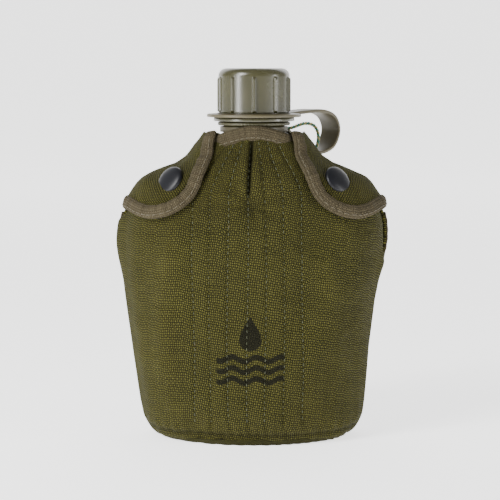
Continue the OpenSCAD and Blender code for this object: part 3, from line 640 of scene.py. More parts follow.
def frontRelief(p):
    # How far the front cloth stands off its plain shape, and its painted shade: darker in its folds and seams, at
    # points p
    x, z = p[..., 0], p[..., 2]
    lift = 0.7 * softNoise(p, 46, 3) + 0.28 * softNoise(p, 17, 4) + 0.08 * softNoise(p, 7, 5)
    shade = np.zeros_like(x)
    share = np.clip((z - frontCloth["dartFoot"][1])
                    / (frontCloth["dartTop"][1] - frontCloth["dartFoot"][1]), 0, 1)
    lineX = frontCloth["dartFoot"][0] + (frontCloth["dartTop"][0] - frontCloth["dartFoot"][0]) * share
    on = smooth(z, frontCloth["dartFoot"][1] - 5, frontCloth["dartFoot"][1] + 4)
    beside = x - lineX
    lift = lift + on * (-2.6 * bell(beside, 0.9 + 0.4 * share) + 1.3 * bell(beside - 3.6, 2.6)
                        + 1.5 * bell(beside + 3.4, 2.4))
    # Painted shade down the dart's fold
    shade = shade - 0.55 * on * bell(beside, 0.9)
    away = np.hypot(x - frontCloth["dimple"][0], z - frontCloth["dimple"][1])
    bearing = np.arctan2(z - frontCloth["dimple"][1], x - frontCloth["dimple"][0])
    ripple = np.cos(7 * bearing + 1.2 * np.sin(2 * bearing)) * smooth(away, 1.5, 6)
    lift = lift - 2.0 * bell(away, 5.5) + 0.75 * ripple * bell(away, 17)
    # Painted shade in the dimple under the dart
    shade = shade - 0.25 * bell(away, 4)
    # Folds that fall from the shoulders and down the left side
    lift = lift + 2.0 * bell(x + 47 - 0.06 * (z - 80), 7) * smooth(z, 18, 50) * (1 - smooth(z, 105, 128))
    lift = lift - 0.5 * bell(x + 38 - 0.03 * (z - 80), 5) * smooth(z, 25, 60) * (1 - smooth(z, 110, 135))
    lift = lift + 1.3 * bell(x - 44 + 0.10 * (z - 80), 6) * smooth(z, 20, 60) * (1 - smooth(z, 100, 125))
    drag = (x * 0.5 + (z - 118)) / 1.118
    lift = lift + 0.7 * bell(drag, 3.5) * smooth(np.abs(x), 12, 28) * (x > 0) * (1 - smooth(x, 38, 50))
    drag = (-x * 0.6 + (z - 112)) / 1.166
    lift = lift + 0.6 * bell(drag, 4) * smooth(np.abs(x), 14, 28) * (x < 0) * (1 - smooth(-x, 38, 50))
    for k, rowX in enumerate(frontCloth["rowsX"]):
        near = x - rowX * rowShift(z) - 0.5 * np.sin(z / 23 + k)
        held = smooth(z, frontCloth["seamZ"], frontCloth["rowLow"] + 2)
        pulled = 1 + 0.45 * np.cos(z * 2 * math.pi / 3.3 + k)
        lift = lift - 0.55 * held * pulled * bell(near, 0.8) - 0.25 * held * bell(near, 2.4)
        lift = lift + 0.16 * held * np.cos(z * 2 * math.pi / (9 + k % 3) + 2.1 * k) * bell(np.abs(near)
                                                                                           - 2.2, 1.6)
        # Painted shade in the groove of each stitched row
        shade = shade - 0.16 * held * bell(near, 0.7)
    gathers = np.cos(x * 2 * math.pi / 5.3 + 1.5 * np.sin(x / 9))
    lift = lift + 0.42 * gathers * bell(z - frontCloth["seamZ"] - 3, 5)
    lift = lift - 1.1 * bell(z - frontCloth["seamZ"], 1.8)
    # Painted shade in the crease of the base seam, and painted light and shade that follow the lift: lighter where
    # the cloth stands out, darker where it sinks
    return lift, shade - 0.35 * bell(z - frontCloth["seamZ"], 1.2) + 0.03 * lift


def keepEdges(grid, deep=3):
    # One at the middle of a cloth, easing to 0 over its outermost rows and columns
    rows, cols = grid.shape[:2]
    j = np.minimum(np.arange(rows), np.arange(rows)[::-1])[:, None] / deep
    i = np.minimum(np.arange(cols), np.arange(cols)[::-1])[None] / deep
    return np.clip(np.minimum(j, 1) * np.minimum(i, 1), 0, 1)


def frontStation(t, share):
    low = stationAt(np.array(frontCloth["seamZ"] + 0.2))
    return low + (stationAt(frontTop(t)) - low) * share


def makeFrontCloth():
    # Columns of equal arc length from side seam to side seam; rows from the base seam to the arched top
    fine = np.linspace(180 - frontCloth["around"], 360 + frontCloth["around"], 1200)
    run = np.linalg.norm(np.diff(skin(fine, np.full_like(fine, 5.0)), axis=0), axis=1)
    run = np.concatenate([[0], np.cumsum(run)])
    ts = np.interp(np.linspace(0, run[-1], frontCloth["cols"]), run, fine)
    t, share = np.meshgrid(ts, np.linspace(0, 1, frontCloth["rows"]))
    s = frontStation(t, share)
    plain = cover(t, s, layers["panelOut"])
    z = plain[..., 2]
    # Below the flaps the side edges flare out over the back cloth; on the right they stop lower
    beyond = np.minimum(t - 180, 360 - t)
    closes = np.where(t < 270, 1 - smooth(z, 119, 127), 1 - smooth(z, 96, 106))
    flare = (backOut(t, s) + 1.6 - layers["panelOut"]) * (1 - smooth(beyond, -1, 15)) * closes
    plain = cover(t, s, layers["panelOut"] + flare)
    normal = skinNormal(t, s)
    lift, shade = frontRelief(plain)
    edge = np.clip(beyond / 8, 0, 1)
    calm = smooth(edge, 0, 1) * (1 - smooth(share, 0.87, 0.94))
    lift = lift * calm
    outer = plain + lift[..., None] * normal
    inner = outer - 1.6 * normal
    ink = inkDistance(plain[..., 0], plain[..., 2])
    cloth = addSlab("front_cloth", outer, inner, cottonDuck, frontCloth["cols"] // 2,
                    fields={"shade": shade * smooth(edge, 0, 1), "ink": ink})
    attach(cloth, "root")
    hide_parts("front_panel")
    return cloth, (t, s, outer)


frontPiece, frontGrid = makeFrontCloth()


def onFront(x, z):
    # Place and normal of the front cloth at a point seen from the front, found from the nearest of its points
    t = np.degrees(np.arccos(np.clip(signedPower(np.asarray(x) / 72.0, 1.25), -1, 1))) * -1 + 360
    s = stationAt(np.asarray(z, float))
    for _ in range(12):
        p = cover(t, s, layers["panelOut"])
        ahead = cover(t + 0.5, s, layers["panelOut"])
        slope = (ahead[..., 0] - p[..., 0]) / 0.5
        t = t + np.clip((x - p[..., 0]) / slope, -8, 8)
        s = s + np.clip((z - p[..., 2]) * 0.006, -0.3, 0.3)
    p = cover(t, s, layers["panelOut"])
    lift, _ = frontRelief(p)
    return p + lift[..., None] * skinNormal(t, s), skinNormal(t, s)


print("stitching")
stitching = {"length": 1.9, "gap": 1.4, "radius": 0.21, "sides": 6, "rings": 5}


def addStitches(name, starts, ends, normals, body, mat=None, radius=None):
    # Each stitch is a short tube from start to end whose middle stands up as a half wave and whose ends sink
    radius = stitching["radius"] if radius is None else radius
    f = np.linspace(0, 1, stitching["rings"])
    along3 = starts[:, None] + (ends - starts)[:, None] * f[:, None]
    rise = 0.28 * np.sin(math.pi * f) - 0.12
    along3 = along3 + normals[:, None] * rise[:, None]
    heading = unit(ends - starts)
    side = unit(np.cross(heading, normals))
    angle = 2 * math.pi * np.arange(stitching["sides"]) / stitching["sides"]
    fat = radius * (0.55 + 0.45 * np.sin(math.pi * f) ** 0.5)
    ring = (np.cos(angle)[:, None] * side[:, None, None] + np.sin(angle)[:, None] * normals[:, None, None])
    points = along3[:, :, None] + ring * fat[None, :, None, None]
    count, rings, sides = points.shape[:3]
    faces = quadGrid(rings, sides, True)
    first = np.arange(sides)
    caps = np.array([[0, 5, 4, 3], [0, 3, 2, 1]])
    last = (rings - 1) * sides
    faces = np.concatenate([faces, caps, caps[:, ::-1] + last])
    every = (faces[None] + (np.arange(count) * rings * sides)[:, None, None]).reshape(-1, 4)
    run = np.broadcast_to((f * stitching["length"])[None, :, None], points.shape[:3])
    turn = np.broadcast_to((first * 0.25)[None, None], points.shape[:3])
    place = np.stack([turn, run, np.zeros_like(run)], -1).reshape(-1, 3)
    obj = addPiece(name, points.reshape(-1, 3), every, mat or sewingThread, {"clothPlace": place})
    if body:
        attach(obj, body)
    return obj


def frontStitchEnds():
    # Stitches one after another down each row, leaning in where the row leans
    lows, highs = [], []
    pitch = stitching["length"] + stitching["gap"]
    for k, rowX in enumerate(frontCloth["rowsX"]):
        top = 166.0 if abs(rowX) < 30 else 150.0
        z = np.arange(frontCloth["rowLow"] + 1 + 0.4 * k, top, pitch)
        lows.append(np.stack([rowX * rowShift(z) + 0.5 * np.sin(z / 23 + k), z], -1))
        z = z + stitching["length"]
        highs.append(np.stack([rowX * rowShift(z) + 0.5 * np.sin(z / 23 + k), z], -1))
    return np.concatenate(lows), np.concatenate(highs)


lowEnds, highEnds = frontStitchEnds()
lowPoints, lowNormals = onFront(lowEnds[:, 0], lowEnds[:, 1])
highPoints, _ = onFront(highEnds[:, 0], highEnds[:, 1])
frontRows = addStitches("front_stitching", lowPoints, highPoints, lowNormals, "root")


def clothSheet(name, t, s, offOut, offIn, mat, nodes, body, wrinkle=0.35, seed=1,
               middle=None,
               blendTo=None, extra=None):
    # A closed sheet between two offsets over a grid of (t, s), with soft wrinkles that fade out at its edges;
    # painted light and shade follow the wrinkles, lighter on their crests and darker in their dips
    plain = cover(t, s, offOut)
    normal = skinNormal(t, s)
    lift = wrinkle * (softNoise(plain, 38, seed) + 0.5
                      * softNoise(plain, 15, seed + 1)) * keepEdges(plain[..., 0], 6)
    if extra is not None:
        lift = lift + extra(t, s, plain)
    outer = plain + lift[..., None] * normal
    inner = cover(t, s, offIn) + lift[..., None] * normal
    # Painted light and shade: the shade field follows the wrinkles' lift
    sheet = addSlab(name, outer, inner, mat, plain.shape[1] // 2 if middle is None else middle,
                    fields={"shade": 0.04 * lift, "ink": np.full_like(lift, 3.0)})
    if blendTo:
        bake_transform(sheet)
    else:
        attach(sheet, body)
    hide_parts(*nodes)
    return sheet


print("back cloth and linings")
backCloth = {"rows": 130, "cols": 120}


def makeBack():
    low, high = stationAt(np.array(5.8)), stationAt(np.array(neckZ - 0.5))
    t, s = np.meshgrid(np.linspace(0.4, 179.6, backCloth["cols"]), np.linspace(low, high, backCloth["rows"]))
    out = backOut(t, s)
    gather = lambda t, s, p: (0.35 * np.cos(p[..., 0] * 2 * math.pi / 5.7) * bell(p[..., 2] - 9, 5)
                              - 0.9 * bell(p[..., 2] - 5.6, 1.8))
    return clothSheet("back_cloth", t, s, out, out - 1.6, cottonDuck, ["back_panel"], "root",
                      wrinkle=0.45, seed=21, extra=gather)


def makeLining(name, first, last, node, seed, front):
    # The front lining dives under the dart, so that it never shows through the fold
    low = stationAt(np.array(10.5))
    t, s = np.meshgrid(np.linspace(first, last, 90), np.linspace(low, lastStation - 1.35, 80))
    out = layers["liningOut"] * np.ones_like(t) if front else backOut(t, s) - 2.2
    p = layer(t, s, out)
    if front:
        dart = bell(p[..., 0] + 1.5, 7) * smooth(p[..., 2], 122, 132)
        out = out - 1.7 * dart
        out = np.where(p[..., 2] > 146, out * 0.9, out)
    tufts = lambda t, s, p: 0.12 * softNoise(p, 4, seed + 5)
    clothSheet(name, t, s, out, 0.3 * np.ones_like(t), fleeceLining, [node], "root",
               wrinkle=0.05, seed=seed, extra=tufts)


makeBack()
makeLining("front_fleece", 180.8, 359.2, "front_lining", 31, True)
makeLining("back_fleece", 0.8, 179.2, "back_lining", 41, False)


print("base cloth")
baseCloth = {"cols": 220, "holeRadius": 3.9, "holeY": 9.0, "holeRows": 22, "wallRows": 16}


def makeBase(name, offOut, offIn, floorOut, floorIn, mat, node, seamZ, cols, puff):
    # Rings grow from the drain hole to the foot of the wall, then climb the skin to the base seam
    t = np.linspace(0, 360, cols, endpoint=False)
    angle = np.radians(t)
    share = np.linspace(0, 1, baseCloth["holeRows"])[:, None]
    grids = []
    for off, floor in ((offOut, floorOut), (offIn, floorIn)):
        foot = layer(t, np.zeros_like(t), off)
        hole = np.stack([baseCloth["holeRadius"] * np.cos(angle),
                         baseCloth["holeY"] + baseCloth["holeRadius"] * np.sin(angle)], -1)
        flatXY = hole[None] * (1 - share[..., None]) + foot[None, :, :2] * share[..., None]
        flat = np.concatenate([flatXY, np.full(flatXY.shape[:2] + (1,), floor)], -1)
        ts, ss = np.meshgrid(t, np.linspace(0.06, float(stationAt(np.array(seamZ))), baseCloth["wallRows"]))
        wall = cover(ts, ss, off)
        wall = wall + (puff * np.sin(math.pi * np.linspace(0, 1, baseCloth["wallRows"])))[:, None,
                                                                                          None] * skinNormal(
            ts, ss) * (1 + 0.3 * np.cos(wall[..., :1] * 0.9 + wall[..., 1:2] * 0.7))
        # A lip of slack cloth bulges at the middle of the front, under the seam
        climb = np.linspace(0, 1, baseCloth["wallRows"])[:, None]
        lip = 1.6 * bell(np.abs(ts - 270), 24) * np.sin(math.pi * np.minimum(1, climb * 1.25)) * (puff > 0)
        wall = wall + lip[..., None] * skinNormal(ts, ss)
        wall[..., 2] = np.maximum(wall[..., 2], floor)
        grids.append(np.concatenate([flat, wall]))
    # Painted shade: the whole base cloth is drawn 12% darker, as it lies underneath the canteen
    shade = np.zeros(grids[0].shape[:2]) - 0.12
    sheet = addSlab(name, grids[0], grids[1], mat, 0, True, {"shade": shade, "ink": shade + 3})
    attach(sheet, "root")
    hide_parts(node)
    return sheet


basePiece = makeBase("base_cloth", layers["panelOut"], layers["panelIn"], 0.0, 1.6, cottonDuck,
                     "base_panel", 6.2,
                     baseCloth["cols"], 1.5)


def tapeProfile(width, thick, inside, count=26):
    # Section of a bound edge, as (across, up): a puffy roll over the cloth's edge, thin at the sewn side.
    # across runs from -width, where it is sewn, to 0 at the edge; up 0 is the cloth's middle
    angle = np.linspace(0, 2 * math.pi, count, endpoint=False)
    c, q = np.cos(angle), np.sin(angle)
    across = -width / 2 + (width / 2) * signedPower(c, 0.75)
    body = 0.62 + 0.38 * smooth(across, -width, -width * 0.35)
    up = np.where(q > 0, thick, inside) * signedPower(q, 0.62) * body
    return np.stack([across, up], -1)


def edgeFrames(points, normals):
    heading = unit(np.gradient(points, axis=0))
    side = unit(np.cross(heading, normals))
    return side, unit(np.cross(side, heading))


def boundEdge(name, t, s, off, body, node, widths, seed, flip=1, blendTo=None, rib=0.12):
    # The tape rolled over an edge that runs through (t, s); its thickness puckers along the seam
    points = cover(t, s, off)
    normals = skinNormal(t, s)
    side, up = edgeFrames(points, normals)
    side = side * flip
    run = np.concatenate([[0], np.cumsum(np.linalg.norm(np.diff(points, axis=0), axis=1))])
    pucker = 1 + 0.10 * np.sin(run * 2 * math.pi / 6.3 + seed) + 0.07 * np.sin(run * 2 * math.pi / 3.9 + 2
                                                                               * seed)
    profile = np.repeat(tapeProfile(*widths)[None], len(points), 0)
    profile[..., 1] *= pucker[:, None]
    tape = addSweep(name, points, side, up, profile, cottonTape,
                    fields={"shade": np.zeros(profile.shape[0] * profile.shape[1] + 2),
                            "ink": np.full(profile.shape[0] * profile.shape[1] + 2, 3.0)})
    if blendTo:
        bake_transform(tape)
    else:
        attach(tape, body)
    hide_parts(*node)
    return tape, points, side, up, run


print("collar and side bindings")
collar = {"first": 205.5, "last": 334.5, "count": 150, "width": 8.2, "thick": 2.0, "inside": 1.7}


def makeCollar():
    t = np.linspace(collar["first"], collar["last"], collar["count"])
    s = stationAt(frontTop(t) + 0.7)
    return boundEdge("collar_tape", t, s, 3.7 * np.ones_like(t), "root", ["collar_binding"],
                     (collar["width"], collar["thick"], collar["inside"]), 1.3, flip=-1)


collarPiece, collarPoints, collarSide, collarUp, collarRun = makeCollar()


def seamStitches(name, points, side, up, run, across, rise, body, first=3.0, last=3.0, blendTo=None):
    # A row of stitches beside a bound edge, at one distance in from it
    starts = np.arange(first, run[-1] - last - 2.4, 3.3)
    place = lambda r, grid: np.stack([np.interp(r, run, grid[:, k]) for k in range(3)], -1)
    a = place(starts, points) + across * place(starts, side) + rise * place(starts, up)
    b = place(starts + 2.4, points) + across * place(starts + 2.4, side) + rise * place(starts + 2.4, up)
    stitches = addStitches(name, a, b, place(starts, up), None if blendTo else body, tapeThread)
    if blendTo:
        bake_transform(stitches)
    return stitches


seamStitches("collar_stitching", collarPoints, collarSide, collarUp, collarRun, -6.4, 1.5, "root")


def makeSideBinding(side, node):
    # Tape folded over the side seam, behind it, from the base seam up to the flap
    z = np.linspace(7.5, 121, 110)
    s = stationAt(z)
    t = np.full_like(z, 173.0 if side < 0 else 7.0)
    points = cover(t, s, backOut(t, s) + 0.5)
    normals = skinNormal(t, s)
    across, up = edgeFrames(points, normals)
    across = across * (-side)
    run = np.concatenate([[0], np.cumsum(np.linalg.norm(np.diff(points, axis=0), axis=1))])
    profile = np.repeat(tapeProfile(6.5, 1.1, 1.0)[None], len(z), 0)
    profile[..., 0] += 3.2
    profile[..., 1] *= (1 + 0.12 * np.sin(run * 2 * math.pi / 5.1))[:, None]
    zeros = np.zeros(profile.shape[0] * profile.shape[1] + 2)
    # Painted shade: the side tapes are drawn 10% darker than the other tapes
    tape = addSweep("side_tape_" + ("left" if side < 0 else "right"), points, across, up, profile, cottonTape,
                    fields={"shade": zeros - 0.1, "ink": zeros + 3})
    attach(tape, "root")
    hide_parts(node)


makeSideBinding(-1, "side_binding_left")
makeSideBinding(1, "side_binding_right")


print("flaps")
# The flap's free edge: height of the skin under it, and angle from the side seam
flapShape = {"edge": [[128.5, 20], [127.0, 36], [128.5, 46], [133, 52.5], [139.5, 54.5], [147, 51.5],
                      [153.5, 42.5], [159.5, 30], [163.2, 22]],
             "rows": 110, "cols": 60, "tuck": -9.0, "hinge": (0.052, 0.0085, 0.152), "lift": 0.9}
flapEdge = np.array(flapShape["edge"], float)


def mirrorFaces(points, side):
    return points * np.array([-side, 1, 1])


def flapGrid(rows, cols, reach=0.0, tuck=None):
    # Rows climb the free edge; columns run from behind the side seam out to the edge
    q = along(flapEdge, np.linspace(0, len(flapEdge) - 1, rows))
    share = np.linspace(0, 1, cols)[None]
    first = 180 + (flapShape["tuck"] if tuck is None else tuck)
    t = first + (180 + q[:, 1:] - reach - first) * share
    return t, np.repeat(stationAt(q[:, 0])[:, None], cols, 1)


def flapLift(t, s, plain, seed):
    # The flap stands a little off the body towards its free outer corner, and dips round the snap
    x, z = plain[..., 0], plain[..., 2]
    corner = bell(np.hypot((x + 73) * 0.8, z - 127), 22)
    lift = flapShape["lift"] * corner + 0.4 * softNoise(plain, 26, seed) + 0.15 * softNoise(plain, 11,
                                                                                            seed + 1)
    away = np.hypot(x + 45.6, z - 146.5)
    lift = lift - 0.9 * bell(away, 10) + 0.5 * bell(away - 15, 5)
    lift = lift * smooth(t, 178, 186) - 1.75 * (1 - smooth(t, 178.5, 183))
    return lift


def flapPoints(t, s, off, seed):
    plain = cover(t, s, off * np.ones_like(t))
    return plain + flapLift(t, s, cover(t, s, layers["flapOut"] * np.ones_like(t)), seed)[...,
                                                                                          None] * skinNormal(t, s)


def makeFlap(side, seed):
    word = "left" if side < 0 else "right"
    body = "flap_" + word
    turn = ("root", body, (side * 0.06, 0.0095, 0.14), (side * 0.06, -0.0035, 0.14))
    t, s = flapGrid(flapShape["rows"], flapShape["cols"], 1.5)
    outer = mirrorFaces(flapPoints(t, s, layers["flapOut"], seed), side)
    inner = mirrorFaces(flapPoints(t, s, layers["flapClothIn"], seed), side)
    shade = 0.05 * softNoise(outer, 20, seed + 7)
    cloth = addSlab("flap_cloth_" + word, outer, inner, cottonDuck, 0,
                    fields={"shade": shade, "ink": np.full_like(shade, 3.0)})
    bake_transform(cloth)
    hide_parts(body)
    # The fleece under it starts at the seam
    t, s = flapGrid(70, 44, 2.5, 1.0)
    outer = mirrorFaces(flapPoints(t, s, layers["flapLiningOut"], seed), side)
    inner = mirrorFaces(flapPoints(t, s, layers["flapIn"], seed), side)
    zeros = np.zeros(t.shape)
    fleece = addSlab("flap_fleece_" + word, outer, inner, fleeceLining, 0,
                     fields={"shade": zeros, "ink": zeros + 3})
    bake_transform(fleece)
    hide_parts("flap_lining_" + word)
    # The bound edge: along the hem from the side seam, round the corner and up to the neck
    q = along(flapEdge, np.linspace(0, len(flapEdge) - 1, 150))
    hem = np.stack([np.full(26, flapEdge[0, 0]), np.linspace(1.2, flapEdge[0, 1], 26, endpoint=False)], -1)
    q = np.concatenate([hem, q])
    for _ in range(24):
        q[1:-1] = 0.5 * q[1:-1] + 0.25 * (q[:-2] + q[2:])
    t, s = 180 + q[:, 1], stationAt(q[:, 0])
    points = mirrorFaces(flapPoints(t, s, 0.5 * (layers["flapOut"] + layers["flapIn"]), seed), side)
    normals = mirrorFaces(skinNormal(t, s), side)
    across, up = edgeFrames(points, normals)
    across = across * side
    run = np.concatenate([[0], np.cumsum(np.linalg.norm(np.diff(points, axis=0), axis=1))])
    pucker = 1 + 0.09 * np.sin(run * 2 * math.pi / 6.7 + seed) + 0.06 * np.sin(run * 2 * math.pi / 4.1 + 2
                                                                               * seed)
    profile = np.repeat(tapeProfile(7.6, 2.8, 2.2)[None], len(points), 0)
    profile[..., 0] += 0.9
    profile[..., 1] *= pucker[:, None]
    zeros = np.zeros(profile.shape[0] * profile.shape[1] + 2)
    tape = addSweep("flap_tape_" + word, points, across, up, profile, cottonTape,
                    fields={"shade": zeros, "ink": zeros + 3})
    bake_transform(tape)
    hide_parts("flap_binding_" + word)
    stitches = seamStitches("flap_stitching_" + word, points, across, up, run, -5.3, 2.0, None, blendTo=turn)


makeFlap(-1, 51)
makeFlap(1, 61)


print("snaps")
snap = {"angle": 219.0, "height": 141.0, "radius": 7.9, "rise": 3.1, "seat": 7.4}


def snapFrame(side):
    # Axes of the snap: two across it and one out of the flap
    t, s = np.array(snap["angle"]), stationAt(np.array(snap["height"]))
    out = skinNormal(t, s)
    x = unit(np.cross([0, 0, 1.0], out))
    place, axes = skin(t, s), np.stack([x, np.cross(out, x), out])
    return (place, axes) if side < 0 else (place * [-1, 1, 1], axes * [-1, 1, 1])


def makeSnap(side):
    word = "left" if side < 0 else "right"
    place, axes = snapFrame(side)
    radius, rise, seat = snap["radius"], snap["rise"], snap["seat"]
    # Domed cap: a spherical top that rolls over into a tight lip
    a = np.linspace(0, 1, 22)
    dome = np.stack([radius * np.sin(a * math.pi / 2) ** 0.92,
                     0.9 + (rise - 0.9) * np.cos(a * math.pi / 2) ** 0.9], -1)
    lip = [[radius + 0.12, 0.75], [radius + 0.1, 0.45], [radius - 0.25, 0.1], [radius - 1.0, 0.0], [0.0, 0.0]]
    profile = np.concatenate([dome, lip]) + [0, seat]
    cap = lathe("snap_dome_" + word, profile, enamelledBrass, 72, place, axes)
    socket = lathe("snap_ring_" + word,
                   roundCorners([[3.6, 4.9], [4.5, 4.9], [4.5, seat + 0.05], [3.6, seat + 0.05]],
                                                     0.18), enamelledBrass, 48, place, axes)
    stud = lathe("snap_post_" + word, [[0, 3.8], [3.8, 3.8], [3.9, 4.0], [3.8, 4.6], [2.3, 4.75], [2.15, 5.3],
                                       [2.3, 6.4], [2.55, 6.7], [2.5, 7.2], [2.1, 7.6], [0, 7.65]],
                 enamelledBrass, 48, place, axes)
    for piece, body, node in ((cap, "flap_" + word, "snap_cap_" + word),
                              (socket, "flap_" + word, "snap_socket_" + word),
                              (stud, "root", "snap_stud_" + word)):
        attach(piece, body)
        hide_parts(node)


makeSnap(-1)
makeSnap(1)


print("cap and its rings")
capShape = {"inner": 18.1, "outer": 19.7, "flange": 22.3, "sleeve": 19.2, "low": 176.7, "flangeHigh": 178.6,
            "grip": 181.4, "top": 205.7, "roof": 2.4, "edge": 4.4, "ribs": 10, "ribOut": 1.35, "ribWide": 2.0,
            "ribLow": 182.2, "ribHigh": 200.6, "columns": 480, "pitch": 4.0}


def makeCap():
    c = capShape
    corner = c["edge"]
    a = np.linspace(0, math.pi / 2, 12)
    roll = np.stack([c["outer"] - corner + corner * np.cos(a), c["top"] - corner + corner * np.sin(a)], -1)
    top = np.stack([np.linspace(c["outer"] - corner - 0.6, 0, 16), np.full(16, float(c["top"]))], -1)
    top[:, 1] -= 0.3 * bell(top[:, 0], 9)
    side = np.stack([np.full(46, c["outer"]), np.linspace(c["grip"] + 0.5, c["top"] - corner - 0.2, 46)], -1)
    low = roundCorners([[c["inner"], c["low"]], [c["flange"], c["low"]], [c["flange"], c["flangeHigh"]],
                        [c["sleeve"], c["flangeHigh"]], [c["sleeve"], c["grip"] + 0.1],
                        [c["outer"], c["grip"] + 0.1]],
                       [0, 0.45, 0.6, 0.3, 0.2, 0.25], closed=False)
    roof = c["top"] - c["roof"]
    wall = np.stack([np.full(60, c["inner"]), np.linspace(roof - 0.3, c["low"] + 0.4, 60)], -1)
    under = np.stack([np.linspace(0, c["inner"] - 0.3, 8), np.full(8, roof)], -1)
    profile = np.concatenate([under, wall, low, side, roll, top])

    def dent(angle, profile):
        # Ribs: a rounded bar that swells out of the side and fades at both ends; the thread winds inside
        r, z = profile[:, :1], profile[:, 1:]
        step = 2 * math.pi / c["ribs"]
        near = (angle + math.pi / 2 + step / 2) % step - step / 2
        across = np.clip(np.abs(near * c["outer"]) / (c["ribWide"] / 2), 0, 1.6)
        bar = np.clip(1.25 - across ** 4 * 1.25, 0, 1)
        rise = smooth(z, c["ribLow"] - 0.5,
                      c["ribLow"] + 0.3) * (1 - smooth(z, c["ribHigh"] - 0.8, c["ribHigh"] + 0.6))
        outside = (r > c["outer"] - 0.05) & (z > c["grip"])
        rough = 0.05 * np.sin(z * 5.1 + 3 * near) + 0.04 * np.sin(z * 9.7)
        rib = outside * bar * rise * (c["ribOut"] + rough)
        phase = (z - c["low"]) / c["pitch"] - angle / (2 * math.pi)
        ridge = bell((phase - np.round(phase)) * c["pitch"], 0.62)
        span = smooth(z, 188.5, 190) * (1 - smooth(z, 196, 197.5))
        inside = (np.abs(r - c["inner"]) < 0.05) & (z < roof - 0.5)
        return rib - inside * ridge * span * 1.1

    cap = lathe("cap_body", profile, capPolyethylene, c["columns"], dent=dent)
    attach(cap, "cap")
    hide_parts("cap")
    gasket = lathe("cap_seal",
                   roundCorners([[0, 201.9], [17.8, 201.9], [17.8, 203.25], [0, 203.25]], [0, 0.3, 0.3, 0],
                                            closed=False), gasketRubber, 96)
    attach(gasket, "cap")
    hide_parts("cap_gasket")


makeCap()
strapShape = {"width": 13.0, "thick": 1.9, "angle": 50.0, "reach": 70.0, "ringZ": 178.95, "ringThick": 2.1,
              "ringIn": 19.55, "ringOut": 26.0,
              "line": [[0, 0], [0.3, 0.9], [0.65, 1.2], [0.88, -1.5], [0.985, -7], [0.985, -13],
                       [0.88, -19.5],
                       [0.66, -22.5], [0.42, -21], [0.2, -14.5], [0, -8.6]], "neckEnd": 22.4}


def makeStrap():
    c = strapShape
    z, high = c["ringZ"], c["ringZ"] + c["ringThick"]
    ring = lathe("strap_ring", roundCorners([[c["ringIn"], z], [c["ringOut"], z], [c["ringOut"], high - 0.5],
                                             [c["ringIn"] + 1, high], [c["ringIn"], high]],
                                            [0.2, 0.5, 0.5, 0.3, 0.2]), strapPolyethylene, 160)
    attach(ring, "keeper_strap")
    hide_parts("strap_cap_ring")
    # The band: its middle line rises from the ring, turns over at its reach and comes back to the neck
    u = np.linspace(0, len(c["line"]) - 1, 150)
    q = along(c["line"], u)
    near = np.where(u < 5, c["ringOut"] - 1.2, c["neckEnd"])
    radius = near + (c["reach"] - near) * q[:, 0]
    height = z + c["ringThick"] / 2 + q[:, 1] - 0.1
    azimuth = math.radians(c["angle"])
    out = np.array([math.cos(azimuth), math.sin(azimuth), 0])
    path = radius[:, None] * out + height[:, None] * np.array([0, 0, 1.0])
    side = np.repeat(np.array([[-out[1], out[0], 0]]), len(path), 0)
    up = np.cross(pathFrames(path), side)
    half, thick = c["width"] / 2, c["thick"] / 2
    profile = roundCorners([[-half, -thick], [half, -thick], [half, thick], [-half, thick]], 0.62, 4)
    band = addSweep("strap_loop", path, side, up, profile, strapPolyethylene)
    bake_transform(band)
    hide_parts("strap_band")


makeStrap()


print("neck cord")
cordShape = {"radius": 1.0, "ply": 0.54, "turn": 3.4,
             "points": [[18.1, 9.4, 172.2], [21.4, 11.2, 172.6], [24.6, 13.4, 173.7], [27.8, 15.6, 174.6],
                        [31, 17.2, 174.6], [34, 18, 173.2], [35.8, 18, 170.2], [36.3, 17.8, 167],
                        [35.9, 17.6, 164], [35.2, 17.4, 161.2]]}


